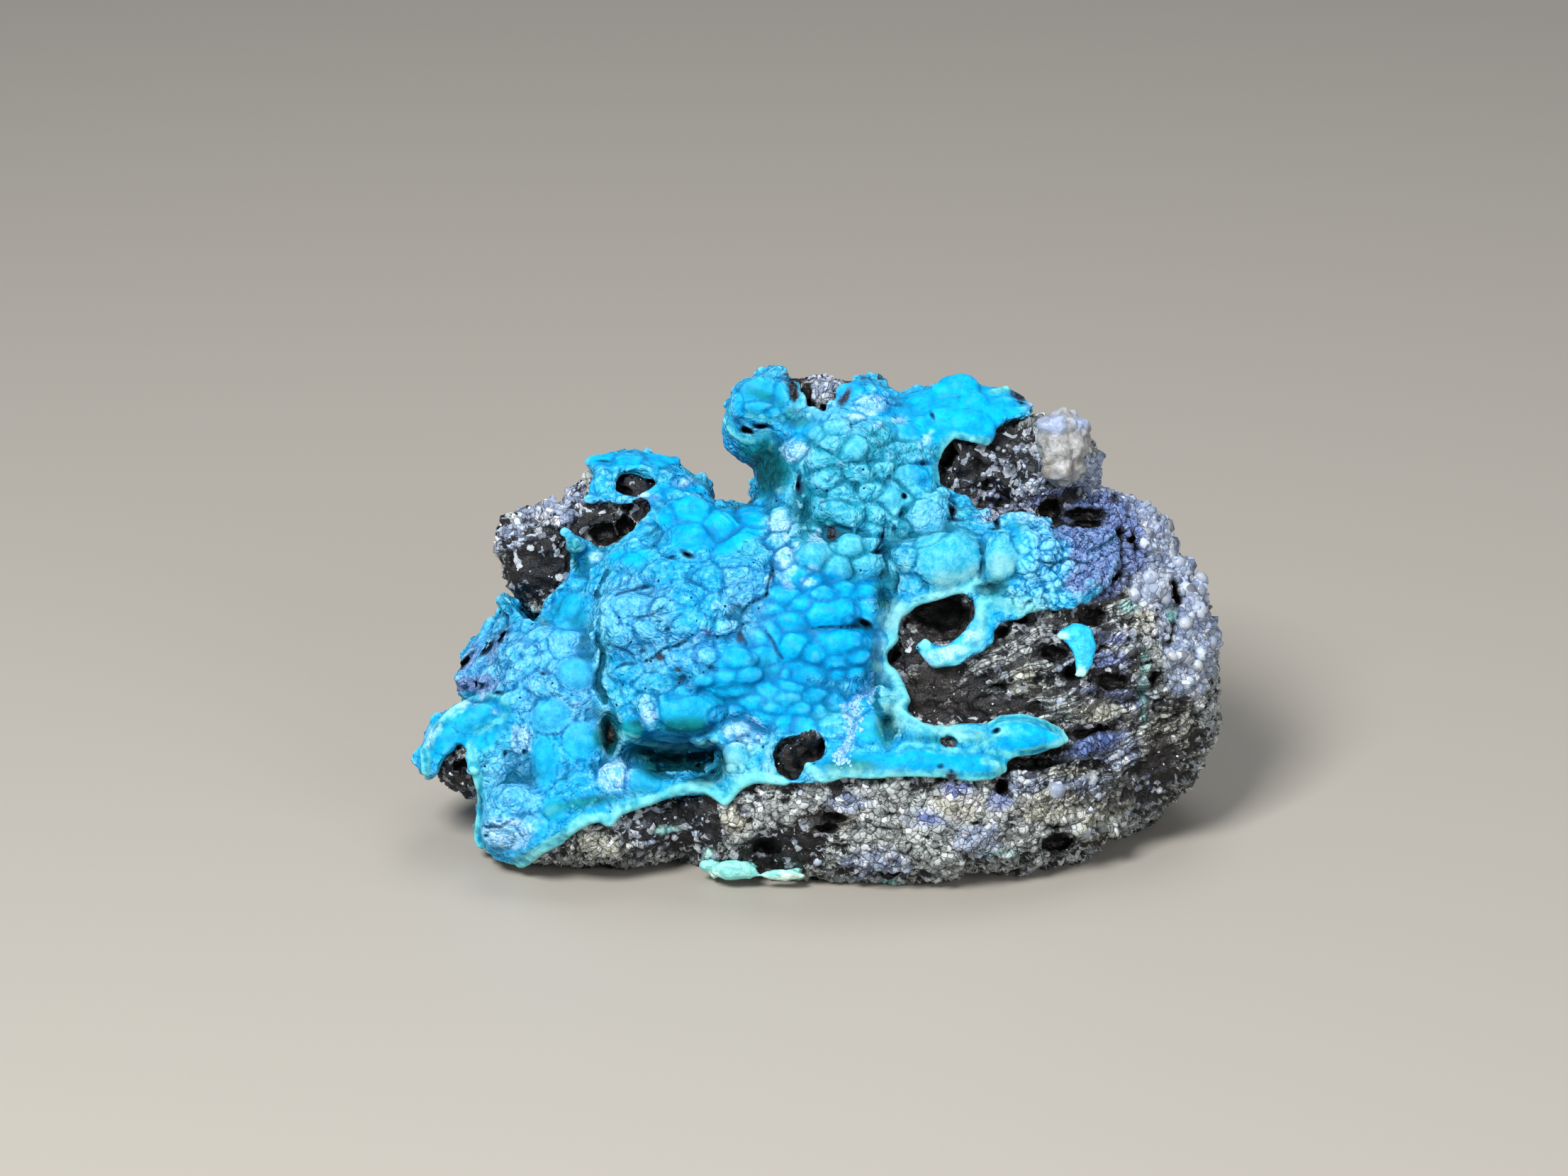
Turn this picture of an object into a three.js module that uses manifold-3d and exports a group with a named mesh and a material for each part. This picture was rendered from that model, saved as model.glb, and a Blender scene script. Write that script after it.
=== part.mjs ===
// A raw blue mineral specimen: a dark, grainy matrix stone whose front and top carry a lumpy blue crust.
// Millimetres, +Z up. The stone rests on Z = 0 with its crusted face leaning back from the front (-Y).
import * as THREE from "three";
import { ImprovedNoise } from "three/addons/math/ImprovedNoise.js";
import { mergeVertices } from "three/addons/utils/BufferGeometryUtils.js";
import Module from "manifold-3d";

const wasm = await Module();
wasm.setup();

// ---- driving dimensions ----

// Every place is given on the crusted face: u to the right, v up the face, w out of the face.
const lean = 20; // degrees between the face's normal and the horizontal
const sink = 1.4; // how far the face's foot, v = 0 and w = 0, lies below the resting plane
const shift = [0.11, -7.16]; // moves the middle of the stone's footprint to the origin, X and Y

const fitGap = 0.3; // clearance between two pieces that touch
const crustThickness = 1.25; // blue crust over the matrix, lumps not counted
const patchThickness = 0.95; // the two small patches of crust
const lumpRise = 0.55; // share of a lump's half size that stands out of the crust
const blockiness = 2.5; // 2 is an ellipsoid, more is squarer
const brokenHeight = 0.42; // height of the broken relief on the matrix
const brokenSpan = 3.1; // distance from one broken ledge to the next
const chipSpan = 1.7; // the same for the chips on the ledges
const windowBack = -4; // how far back the openings through the crust reach
const patchBack = 1; // how far back the two small patches reach
const weld = 1e-4; // vertices nearer than this are one
const looseWeld = 2e-3; // the same where hair-thin bridges are to close up
const reach = 40; // longer than the stone, for cutters that go right through it

// The masses that the matrix is made of: centre, half sizes, and how finely each is faceted.
const masses = {
  base: { at: [3.8, 6.0, -3.2], half: [15.2, 6.4, 10.8], detail: 2 },
  rightBody: { at: [12.6, 12.8, -4.4], half: [12.2, 10.6, 8.4], detail: 3 },
  centre: { at: [-4.6, 12.6, -4.2], half: [11.0, 10.0, 8.9], detail: 3 },
  back: { at: [2.5, 12.0, -8.8], half: [17.6, 10.4, 5.6], detail: 2 },
  leftSlab: { at: [-15.4, 9.4, -4.2], half: [5.2, 7.0, 6.4], detail: 2 },
  leftFoot: { at: [-14.0, 4.0, -0.6], half: [6.4, 2.8, 6.0], detail: 1 },
  leftEar: { at: [-21.2, 8.2, -1.8], half: [2.6, 2.2, 3.2], detail: 1 },
  leftBack: { at: [-18.0, 12.8, -7.0], half: [3.8, 3.0, 4.4], detail: 1 },
  knob: { at: [-17.4, 20.6, -5.0], half: [2.7, 3.0, 3.8], detail: 2 },
  cap: { at: [-12.2, 20.6, -6.4], half: [4.7, 5.3, 4.6], detail: 2 },
  column: { at: [2.4, 22.6, -5.8], half: [5.4, 7.6, 6.6], detail: 2 },
  topLobe: { at: [-0.5, 29.4, -6.2], half: [4.2, 2.2, 3.4], detail: 2 },
  topRidge: { at: [8.4, 26.4, -6.6], half: [6.0, 3.6, 4.4], detail: 2 },
  topEnd: { at: [14.4, 25.8, -5.0], half: [3.0, 3.4, 4.4], detail: 1 },
  shoulder: { at: [17.2, 19.2, -4.4], half: [5.2, 5.0, 5.4], detail: 2 },
};

// Hollows in the matrix, and the arches that its underside stands on: centre and half sizes.
const hollows = {
  cavern: { at: [-9.6, 8.2, 6.4], half: [4.9, 2.8, 6.0], detail: 1 },
  darkWindow: { at: [7.3, 16.7, 5.2], half: [2.5, 1.5, 3.2], detail: 1 },
  topHollow: { at: [10.6, 26.0, 0.4], half: [3.2, 2.4, 2.2], detail: 1 },
  shoulderHollow: { at: [16.4, 23.4, 1.2], half: [2.0, 1.0, 2.6], detail: 1 },
  rightSlot: { at: [22.0, 17.4, 1.6], half: [0.6, 2.1, 3.0], detail: 1 },
  leftArch: { at: [-12.0, -0.4, 5.2], half: [4.6, 2.7, 5.0], detail: 1 },
  rightArch: { at: [10.6, -0.9, 6.0], half: [4.6, 2.7, 6.0], detail: 1 },
  underside: { at: [-4.0, 2.4, -4.4], half: [3.4, 1.6, 7.0], detail: 1 },
  backArch: { at: [7.0, 5.8, -13.0], half: [8.0, 2.4, 4.0], detail: 1 },
};

// A knob of pale quartz that stands on the matrix.
const quartz = { at: [15.1, 27.3, -0.7], half: [1.7, 2.2, 2.2], detail: 2 };

// The edge of the crust, seen square to the face, stretch by stretch round the stone.
const crustEdge = {
  toe: [[-20.8, 0.4], [-18.4, 1.5], [-16.2, 3.1], [-14.4, 4.2], [-12.7, 4.2], [-11.8, 5.1]],
  ledge: [[-9.6, 5.5], [-8, 5.9], [-6.9, 5.9], [-5.9, 5.2], [-5, 6.2], [-4.2, 6.7], [-0.8, 6.5]],
  lowerBand: [[1, 7], [4.8, 7.1], [7.4, 7.1], [9.1, 6.7], [10.8, 7], [11.4, 7.6], [10.8, 8.15]],
  seamTongue: [[13, 8.3], [14, 8.7], [15.2, 9.1], [14.6, 9.9], [13.3, 10.6], [12, 10.9], [10, 10.3]],
  seamRoot: [[8.8, 10.4], [7.4, 10.1], [5.8, 10.5], [5.3, 11.2], [5.5, 11.9], [4.6, 13.5], [3.6, 14.3]],
  windowRim: [[4.7, 15.1], [5, 16.7], [5.4, 17.4], [7, 17.9], [8.6, 18.3], [9.4, 17.9], [9.4, 16.7]],
  ribbon: [[8.6, 15.7], [7.4, 15], [6.3, 15.6], [5.9, 14.6], [6.8, 13.6], [8.2, 13.6], [9.6, 14.4]],
  ribbonRoot: [[10.6, 15.2], [10.8, 16.4], [12, 16.5], [13.2, 17.3], [14, 17.1], [15.6, 17.3]],
  shoulder: [[16.5, 18], [17.6, 18.7], [18.4, 19.8], [18.7, 21], [18.2, 22.4], [15.2, 22.2], [13.9, 22.3]],
  hollowFoot: [[13.6, 22.8], [12.4, 23.3], [11.3, 23.3], [10.4, 22.4], [10, 23.4], [8.9, 24.6], [7.9, 24.9]],
  hollowRim: [[7.2, 25.4], [7.2, 26.4], [7.8, 27.6], [8.7, 28.1], [10.4, 27.6], [11.1, 28.6], [12.6, 29.3]],
  crest: [[13.6, 30], [14.2, 34], [4.6, 34]],
  topQuartz: [[4.3, 31.6], [2.8, 32.1], [1.3, 31.2], [0.3, 29.4], [-0.9, 29.9], [-1.3, 31.3], [-2, 31.8]],
  capTop: [[-2.2, 34], [-15.6, 34], [-15.4, 27.6], [-14.4, 25.6], [-15, 24], [-12.4, 23.9]],
  capFoot: [[-10.6, 24.3], [-10.7, 23.4], [-12.6, 21.7], [-13.7, 21.1], [-15.2, 22], [-16.3, 22.3]],
  knobFoot: [[-15.7, 20.5], [-15.8, 19.3], [-17.3, 18.1], [-17.7, 17], [-17.4, 16.1], [-18.3, 16.4]],
  leftBack: [[-19, 17.3], [-19.8, 18.2], [-22, 18.5], [-26, 14]],
  ear: [[-26.5, 8], [-25.5, 6.7], [-23.9, 6.8], [-23.6, 7.8], [-22.6, 9], [-21.8, 8.9]],
  toeSide: [[-22.3, 7.9], [-21.5, 7], [-21.3, 5], [-21.9, 3.5], [-21.7, 1.6]],
};

// How far back the crust wraps over the top and the sides: u and w of its back edge.
const crustBack = [
  [-28, -8], [-23, -11], [-19, -9.6], [-16, -10.8], [-12, -9.4], [-8, -11.6],
  [-4, -12.2], [0, -9.8], [4, -10.8], [8, -9.4], [12, -11], [20, -8],
];

// Openings through the crust that show the matrix, seen square to the face.
const windows = {
  nub: [[-2.9, 8.2], [-2.5, 7.2], [-1.4, 6.8], [-1.2, 7.8], [0, 8.3], [0.2, 9.3], [-0.4, 9.6], [-2.5, 9.4]],
  cap: [[-13.1, 24.6], [-12.3, 26.2], [-10.4, 26.1], [-10.5, 24.9], [-11.7, 24.4]],
  seam: [[5.6, 9.8], [7.5, 9.7], [8.6, 9.2], [10.3, 9.6], [10, 9], [8.8, 8.7], [7.2, 8.95], [5.9, 9.1]],
};

// Two small patches of crust apart from the rest.
const rightPatch = [
  [14.4, 15.7], [15.1, 16.2], [16, 16.5], [16.7, 16.1], [16.9, 15], [16.7, 13.9], [16.2, 13.1],
  [15.5, 13.1], [15.8, 13.7], [15.4, 14.6], [15, 15.4],
];
const footPatch = [
  [-8, 0.5], [-6.8, 1.2], [-5.6, 1.7], [-4.6, 1.4], [-3.6, 0.9], [-1.6, 1.1], [-1.2, 0.6],
  [-2, -1], [-8, -1],
];

// The main lumps of the crust: u, v, half width, half height.
const lumps = [
  // the smooth lumps at the middle
  [0.3, 17.3, 2.2, 1.4], [2.9, 17.2, 1.2, 1.2], [0.9, 14.9, 2.3, 1.4], [-2.0, 14.6, 1.5, 1.3],
  [-0.3, 20.1, 1.9, 1.5],
  // the broad domes round them
  [-5.9, 13.6, 2.6, 1.8], [-2.4, 11.4, 2.6, 1.8], [-8.6, 11.1, 2.4, 1.7],
  [-8.4, 16.8, 2.8, 2.0], [-12.0, 16.4, 2.2, 2.3], [-5.0, 18.8, 2.3, 1.7],
  // the left slope, the toe and the ear
  [-15.4, 8.2, 1.9, 1.7], [-15.4, 12.4, 1.9, 1.5], [-19.2, 4.8, 1.8, 1.8], [-21.6, 10.2, 2.2, 1.3],
  // the valley under the notch
  [-8.0, 22.4, 2.2, 1.8],
  // the nodules up the column
  [1.9, 20.4, 1.9, 1.5], [1.4, 23.4, 1.9, 1.2], [1.6, 27.2, 2.2, 1.6],
  // the right flank
  [7.0, 20.2, 2.8, 1.7], [6.2, 23.3, 2.1, 1.6], [12.6, 20.4, 2.6, 1.7],
  // the crest and the top lobe
  [8.7, 31.0, 1.5, 1.2], [3.0, 30.4, 1.6, 1.2], [-3.8, 30.2, 2.0, 1.7],
  // the seam's tongue
  [12.0, 9.5, 2.2, 1.1],
];

// ---- shapes ----

const noise = new ImprovedNoise();

// How far the broken surface stands out of a smooth mass at a place.
function brokenRelief(p) {
  const ledge = noise.noise(p.x / brokenSpan, p.y / brokenSpan, p.z / brokenSpan);
  const chip = Math.abs(noise.noise(p.z / chipSpan, p.x / chipSpan, p.y / chipSpan));
  return brokenHeight * (2 * ledge + chip);
}

// A closed geometry as a solid that can be cut and joined.
function solidOf(geometry, tolerance = weld) {
  const bare = geometry.clone();
  bare.deleteAttribute("normal");
  bare.deleteAttribute("uv");
  const merged = mergeVertices(bare, tolerance);
  return new wasm.Manifold(
    new wasm.Mesh({
      numProp: 3,
      vertProperties: new Float32Array(merged.attributes.position.array),
      triVerts: new Uint32Array(merged.index.array),
    }),
  );
}

// A rounded block about a place, its skin moved out by `grow`.
function block({ at, half, detail = 2 }, grow = 0, relief = () => 0) {
  const geometry = new THREE.IcosahedronGeometry(1, detail);
  const vertices = geometry.attributes.position;
  const size = new THREE.Vector3(...half);
  const unit = new THREE.Vector3();
  for (let i = 0; i < vertices.count; i++) {
    unit.fromBufferAttribute(vertices, i);
    const sum = unit.toArray().reduce((s, c) => s + Math.abs(c) ** blockiness, 0);
    unit.multiplyScalar(sum ** (-1 / blockiness));
    const slope = unit.toArray().map((c) => Math.sign(c) * Math.abs(c) ** (blockiness - 1));
    const normal = new THREE.Vector3(...slope).divide(size).normalize();
    const place = unit.clone().multiply(size).add(new THREE.Vector3(...at));
    place.addScaledVector(normal, grow + relief(place));
    vertices.setXYZ(i, ...place);
  }
  return solidOf(geometry);
}

// Several solids as one.
function joined(solids) {
  return solids.reduce((all, next) => all.add(next));
}

// The largest of a solid's bodies: crumbs that a cut leaves loose are dropped, and so are the
// hair-thin bridges to them, which close up once near vertices are merged.
function largest(solid) {
  const bulk = (s) => s.decompose().sort((a, b) => b.volume() - a.volume())[0];
  return bulk(solidOf(geometryOf(bulk(solid)), looseWeld));
}

// An outline on the face as a prism from w = `low` to w = `high`.
function prism(outline, low, high) {
  const shape = new THREE.Shape(outline.map(([u, v]) => new THREE.Vector2(u, v)));
  const geometry = new THREE.ExtrudeGeometry(shape, { depth: high - low, bevelEnabled: false });
  return solidOf(geometry.translate(0, 0, low));
}

const stone = new THREE.Group();
stone.rotation.x = THREE.MathUtils.degToRad(90 - lean);
stone.position.set(...shift, -sink);
stone.updateMatrix();

// The space below a height over the resting plane, in the face's own frame.
function below(height) {
  const box = new THREE.BoxGeometry(3 * reach, 3 * reach, reach);
  box.translate(0, 0, height - reach / 2);
  return solidOf(box.applyMatrix4(stone.matrix.clone().invert()));
}

// The matrix with its skin moved out by `grow`, flat where it rests.
function rock(grow = 0) {
  const body = joined(Object.values(masses).map((m) => block(m, grow, brokenRelief)));
  const holes = joined(Object.values(hollows).map((h) => block(h, -grow)));
  return body.subtract(holes).subtract(below(grow));
}

// A solid as the geometry of a mesh.
function geometryOf(solid) {
  const { vertProperties, triVerts, numProp } = solid.getMesh();
  const positions = new Float32Array((vertProperties.length / numProp) * 3);
  for (let i = 0; i < positions.length / 3; i++) {
    positions.set(vertProperties.subarray(i * numProp, i * numProp + 3), i * 3);
  }
  const geometry = new THREE.BufferGeometry();
  geometry.setAttribute("position", new THREE.BufferAttribute(positions, 3));
  geometry.setIndex(new THREE.BufferAttribute(triVerts, 1));
  geometry.computeVertexNormals();
  return geometry;
}

function meshOf(name, solid, material) {
  const mesh = new THREE.Mesh(geometryOf(solid), material);
  mesh.name = name;
  return mesh;
}

// ---- the crust ----

const skin = rock(crustThickness);
const skinMesh = meshOf("skin", skin, new THREE.MeshBasicMaterial());
const probe = new THREE.Raycaster();

// How far out of the face the crust's skin lies at a place on the face.
function skinHeight(u, v) {
  probe.set(new THREE.Vector3(u, v, reach), new THREE.Vector3(0, 0, -1));
  const [hit] = probe.intersectObject(skinMesh);
  if (!hit) throw new Error(`no crust to carry a lump at ${u}, ${v}`);
  return hit.point.z;
}

// A lump that stands out of the crust's skin.
function lump([u, v, halfWidth, halfHeight]) {
  const rise = Math.min(halfWidth, halfHeight);
  const at = [u, v, skinHeight(u, v) - (1 - lumpRise) * rise];
  return block({ at, half: [halfWidth, halfHeight, rise], detail: 1 });
}

// ---- the pieces ----

const backing = rock(fitGap);
const matrix = largest(rock());
const knob = largest(block(quartz, 0, brokenRelief).subtract(backing));

const front = prism(Object.values(crustEdge).flat(), -reach, reach);

// The crust's reach over the top and the sides: an outline in u and w, run right through along v.
const wrapEdge = [[reach, reach], [-reach, reach], ...crustBack].map(([u, w]) => [u, -w]);
const wrap = new THREE.ExtrudeGeometry(
  new THREE.Shape(wrapEdge.map(([u, y]) => new THREE.Vector2(u, y))),
  { depth: 2 * reach, bevelEnabled: false },
);
wrap.rotateX(-Math.PI / 2).translate(0, -reach / 2, 0);

const crust = largest(
  joined([skin, ...lumps.map(lump)])
    .intersect(front)
    .intersect(solidOf(wrap))
    .subtract(joined(Object.values(windows).map((w) => prism(w, windowBack, reach))))
    .subtract(backing)
    .subtract(block(quartz, fitGap, brokenRelief))
    .subtract(below(fitGap)),
);

// A thin patch of crust on the matrix, inside an outline on the face.
function patch(outline) {
  const layer = rock(patchThickness).intersect(prism(outline, patchBack, reach));
  return largest(layer.subtract(backing).subtract(below(fitGap)));
}

const matrixStone = new THREE.MeshStandardMaterial({ color: 0x5d564f, roughness: 0.85 });
const blueCrust = new THREE.MeshStandardMaterial({ color: 0x14a9d6, roughness: 0.55 });
const paleCrust = new THREE.MeshStandardMaterial({ color: 0x9fe0d4, roughness: 0.6 });
const whiteQuartz = new THREE.MeshStandardMaterial({ color: 0xd9d4ca, roughness: 0.5 });

stone.add(
  meshOf("matrix", matrix, matrixStone),
  meshOf("blue_crust", crust, blueCrust),
  meshOf("blue_patch_right", patch(rightPatch), blueCrust),
  meshOf("blue_patch_foot", patch(footPatch), paleCrust),
  meshOf("quartz_knob", knob, whiteQuartz),
);

export default stone;
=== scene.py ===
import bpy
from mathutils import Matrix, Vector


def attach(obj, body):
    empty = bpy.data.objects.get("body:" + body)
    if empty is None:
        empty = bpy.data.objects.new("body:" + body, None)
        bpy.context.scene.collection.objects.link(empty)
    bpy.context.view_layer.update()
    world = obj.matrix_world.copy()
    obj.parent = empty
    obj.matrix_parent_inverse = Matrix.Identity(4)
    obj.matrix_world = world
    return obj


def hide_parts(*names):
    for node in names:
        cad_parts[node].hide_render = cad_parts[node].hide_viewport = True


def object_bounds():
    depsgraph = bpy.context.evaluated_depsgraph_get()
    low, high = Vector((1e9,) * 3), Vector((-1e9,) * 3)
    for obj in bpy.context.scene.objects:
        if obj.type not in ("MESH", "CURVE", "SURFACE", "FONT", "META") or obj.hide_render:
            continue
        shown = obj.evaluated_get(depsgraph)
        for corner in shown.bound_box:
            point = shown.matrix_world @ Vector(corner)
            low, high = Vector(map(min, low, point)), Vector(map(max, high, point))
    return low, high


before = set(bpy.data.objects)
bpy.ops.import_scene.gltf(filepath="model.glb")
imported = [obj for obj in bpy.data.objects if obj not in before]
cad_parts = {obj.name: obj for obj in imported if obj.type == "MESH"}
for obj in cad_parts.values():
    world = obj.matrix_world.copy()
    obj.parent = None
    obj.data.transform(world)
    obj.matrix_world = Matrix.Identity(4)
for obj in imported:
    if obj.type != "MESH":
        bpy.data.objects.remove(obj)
cadBox = [list(corner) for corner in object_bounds()]

import math

import bmesh
import bpy
import numpy as np
from mathutils import Matrix, Vector
from mathutils.bvhtree import BVHTree

print("frame loaded")

# Everything is shaped in the crusted face's own frame, in millimetres: u to the right, v up, w out.
stone = {
    "lean": 20,  # degrees between the face's normal and the horizontal
    "shift": (0.11, -7.16, -1.4),
    "backOf": -7.5,  # fields that are drawn on the face end at this w
}
faceTurn = Matrix.Rotation(math.radians(90 - stone["lean"]), 4, "X")
faceToFrame = Matrix.Scale(0.001, 4) @ Matrix.Translation(stone["shift"]) @ faceTurn


# node trees


class Wire:
    # one output of a node; sums and products of wires add Math nodes
    def __init__(self, graph, node, output=0):
        self.graph, self.node = graph, node
        self.socket = node.outputs[output]

    def other(self, output):
        return Wire(self.graph, self.node, output)

    def __add__(self, value):
        return self.graph.math("ADD", self, value)

    def __sub__(self, value):
        return self.graph.math("SUBTRACT", self, value)

    def __mul__(self, value):
        return self.graph.math("MULTIPLY", self, value)

    def __rsub__(self, value):
        return self.graph.math("SUBTRACT", value, self)

    __radd__, __rmul__ = __add__, __mul__


class Graph:
    def __init__(self, tree):
        self.tree = tree

    def add(self, kind, settings=None, inputs=None, output=0):
        node = self.tree.nodes.new(kind)
        for name, value in (settings or {}).items():
            setattr(node, name, value)
        for name, value in (inputs or {}).items():
            socket = node.inputs[name]
            if isinstance(value, Wire):
                self.tree.links.new(value.socket, socket)
            elif socket.type == "RGBA":
                socket.default_value = (*value, 1)
            else:
                socket.default_value = value
        return Wire(self, node, output) if node.outputs else node

    def math(self, operation, *values):
        return self.add("ShaderNodeMath", {"operation": operation}, dict(enumerate(values)))

    def vector(self, operation, *values):
        return self.add("ShaderNodeVectorMath", {"operation": operation}, dict(enumerate(values)))

    def scaled(self, vector, factor):
        return self.add("ShaderNodeVectorMath", {"operation": "SCALE"}, {0: vector, "Scale": factor})

    def step(self, value, low, high):
        settings = {"interpolation_type": "SMOOTHSTEP"}
        return self.add("ShaderNodeMapRange", settings, {0: value, 1: low, 2: high, 3: 0.0, 4: 1.0})

    def most(self, *values):
        result = values[0]
        for value in values[1:]:
            result = self.math("MAXIMUM", result, value)
        return result

    def noise(self, place, size, detail=2.0, rough=0.5):
        return self.add(
            "ShaderNodeTexNoise", {}, {"Vector": place, "Scale": 1 / size, "Detail": detail, "Roughness": rough}
        )

    def cells(self, place, size, feature="F1", randomness=1.0):
        settings = {"feature": feature}
        inputs = {"Vector": place, "Scale": 1 / size, "Randomness": randomness}
        return self.add("ShaderNodeTexVoronoi", settings, inputs, "Distance")

    def warped(self, place, size, amount):
        push = self.vector("SUBTRACT", self.noise(place, size, 1.0).other("Color"), (0.5, 0.5, 0.5))
        return self.vector("ADD", place, self.scaled(push, amount))

    def mix(self, factor, a, b):
        return self.add("ShaderNodeMix", {"data_type": "RGBA"}, {0: factor, 6: a, 7: b}, 2)


def colour(text):
    # a colour written as on a swatch, made linear
    values = [int(text[i : i + 2], 16) / 255 for i in (0, 2, 4)]
    return tuple(c / 12.92 if c < 0.04045 else ((c + 0.055) / 1.055) ** 2.4 for c in values)


# mesh helpers


def meshObject(name, points, faces):
    mesh = bpy.data.meshes.new(name)
    mesh.vertices.add(len(points))
    mesh.vertices.foreach_set("co", np.asarray(points, np.float32).ravel())
    mesh.loops.add(faces.size)
    mesh.loops.foreach_set("vertex_index", faces.astype(np.int32).ravel())
    mesh.polygons.add(len(faces))
    mesh.polygons.foreach_set("loop_start", np.arange(len(faces), dtype=np.int32) * faces.shape[1])
    mesh.update(calc_edges=True)
    piece = bpy.data.objects.new(name, mesh)
    bpy.context.scene.collection.objects.link(piece)
    return piece


def cadCopy(node):
    # a CAD node's shape as a merged mesh in the face's frame
    work = bmesh.new()
    work.from_mesh(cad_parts[node].data)
    bmesh.ops.remove_doubles(work, verts=work.verts, dist=2e-6)
    bmesh.ops.transform(work, matrix=faceToFrame.inverted(), verts=work.verts)
    mesh = bpy.data.meshes.new(node + "Work")
    work.to_mesh(mesh)
    work.free()
    piece = bpy.data.objects.new(node + "Work", mesh)
    bpy.context.scene.collection.objects.link(piece)
    return piece


def settled(piece):
    # the modifiers' result becomes the piece's own mesh
    graph = bpy.context.evaluated_depsgraph_get()
    mesh = bpy.data.meshes.new_from_object(piece.evaluated_get(graph))
    piece.modifiers.clear()
    old = piece.data
    piece.data = mesh
    bpy.data.meshes.remove(old)
    return piece


def modified(piece, kind, **settings):
    modifier = piece.modifiers.new(kind.lower(), kind)
    for name, value in settings.items():
        setattr(modifier, name, value)
    return settled(piece)


def remeshed(piece, size):
    return modified(piece, "REMESH", mode="VOXEL", voxel_size=size)


def pointsOf(piece):
    points = np.empty(len(piece.data.vertices) * 3, np.float32)
    piece.data.vertices.foreach_get("co", points)
    return points.reshape(-1, 3).astype(float)


def setPoints(piece, points):
    piece.data.vertices.foreach_set("co", points.astype(np.float32).ravel())
    piece.data.update()


def joined(name, *pieces):
    # several closed meshes in one object
    work = bmesh.new()
    for piece in pieces:
        work.from_mesh(piece.data)
        bpy.data.objects.remove(piece)
    mesh = bpy.data.meshes.new(name)
    work.to_mesh(mesh)
    work.free()
    result = bpy.data.objects.new(name, mesh)
    bpy.context.scene.collection.objects.link(result)
    return result


def ballTemplate(detail):
    work = bmesh.new()
    bmesh.ops.create_icosphere(work, subdivisions=detail, radius=1)
    points = np.array([v.co for v in work.verts])
    faces = np.array([[v.index for v in f.verts] for f in work.faces])
    work.free()
    return points, faces


def skinOf(piece):
    tree = BVHTree.FromPolygons(
        [v.co for v in piece.data.vertices], [p.vertices for p in piece.data.polygons]
    )

    def at(u, v, near=0.0):
        place, normal, _, _ = tree.ray_cast(Vector((u, v, 60)), Vector((0, 0, -1)))
        if place is None:
            place, normal, _, _ = tree.find_nearest(Vector((u, v, near)))
        return place, normal

    return at


def lumpMesh(name, lumps, skin, rise, detail=3):
    # ellipsoids set in a skin: u, v, half width, half height, turn in degrees, share that stands out
    ball, faces = ballTemplate(detail)
    points, allFaces = [], []
    for u, v, a, b, *rest in lumps:
        turn = math.radians(rest[0] if rest else 0)
        stand = rest[1] if len(rest) > 1 else rise
        place, normal = skin(u, v)
        out = (normal + Vector((0, 0, 0.9))).normalized()
        side = Vector((math.cos(turn), math.sin(turn), 0))
        side = (side - out * side.dot(out)).normalized()
        up = out.cross(side)
        deep = rest[2] if len(rest) > 2 else 0.75 * min(a, b)
        centre = place - out * (1 - stand) * deep
        axes = np.array([side * a, up * b, out * deep])
        allFaces.append(faces + len(points) * len(ball))
        points.append(ball @ axes + np.array(centre))
    return meshObject(name, np.concatenate(points), np.concatenate(allFaces))


def along(path, gap):
    # points at an even gap along a path of (u, v, radius)
    result = []
    for (u0, v0, r0), (u1, v1, r1) in zip(path, path[1:]):
        count = max(1, round(math.hypot(u1 - u0, v1 - v0) / gap))
        for i in range(count):
            k = i / count
            result.append((u0 + (u1 - u0) * k, v0 + (v1 - v0) * k, r0 + (r1 - r0) * k))
    return result + [path[-1]]


def ropeMesh(name, paths, skin, stand, gap=0.22):
    ball, faces = ballTemplate(2)
    points, allFaces = [], []
    for path in paths:
        near = 0.0
        for u, v, r in along(path, gap):
            place, _ = skin(u, v, near)
            near = place.z
            if math.hypot(place.x - u, place.y - v) > 0.6 * r:
                u, v = place.x, place.y
            centre = np.array((u, v, near - r * (1 - stand)))
            allFaces.append(faces + len(points) * len(ball))
            points.append(ball * r + centre)
    return meshObject(name, np.concatenate(points), np.concatenate(allFaces))


# fields on the face


def frontOf(points, cell=0.6):
    # how far each point lies behind the foremost skin at its place on the face
    u = np.floor((points[:, 0] + 30) / cell).astype(int)
    v = np.floor((points[:, 1] + 6) / cell).astype(int)
    front = np.full((u.max() + 3, v.max() + 3), -99.0)
    np.maximum.at(front, (u, v), points[:, 2])
    return front[u, v] - points[:, 2]


def blobField(points, blobs):
    # how far inside the nearest of some ellipses each point is, in mm
    field = np.full(len(points), -3.0)
    for u, v, a, b, *rest in blobs:
        turn = math.radians(rest[0] if rest else 0)
        x, y = points[:, 0] - u, points[:, 1] - v
        along = (x * math.cos(turn) + y * math.sin(turn)) / a
        across = (y * math.cos(turn) - x * math.sin(turn)) / b
        field = np.maximum(field, (1 - np.hypot(along, across)) * min(a, b))
    return field


def lineField(points, lines):
    # the same for lines of (u, v, half width)
    field = np.full(len(points), -3.0)
    for line in lines:
        for (u0, v0, r0), (u1, v1, r1) in zip(line, line[1:]):
            x, y = points[:, 0] - u0, points[:, 1] - v0
            du, dv = u1 - u0, v1 - v0
            k = np.clip((x * du + y * dv) / (du * du + dv * dv), 0, 1)
            field = np.maximum(field, r0 + (r1 - r0) * k - np.hypot(x - du * k, y - dv * k))
    return field


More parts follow.
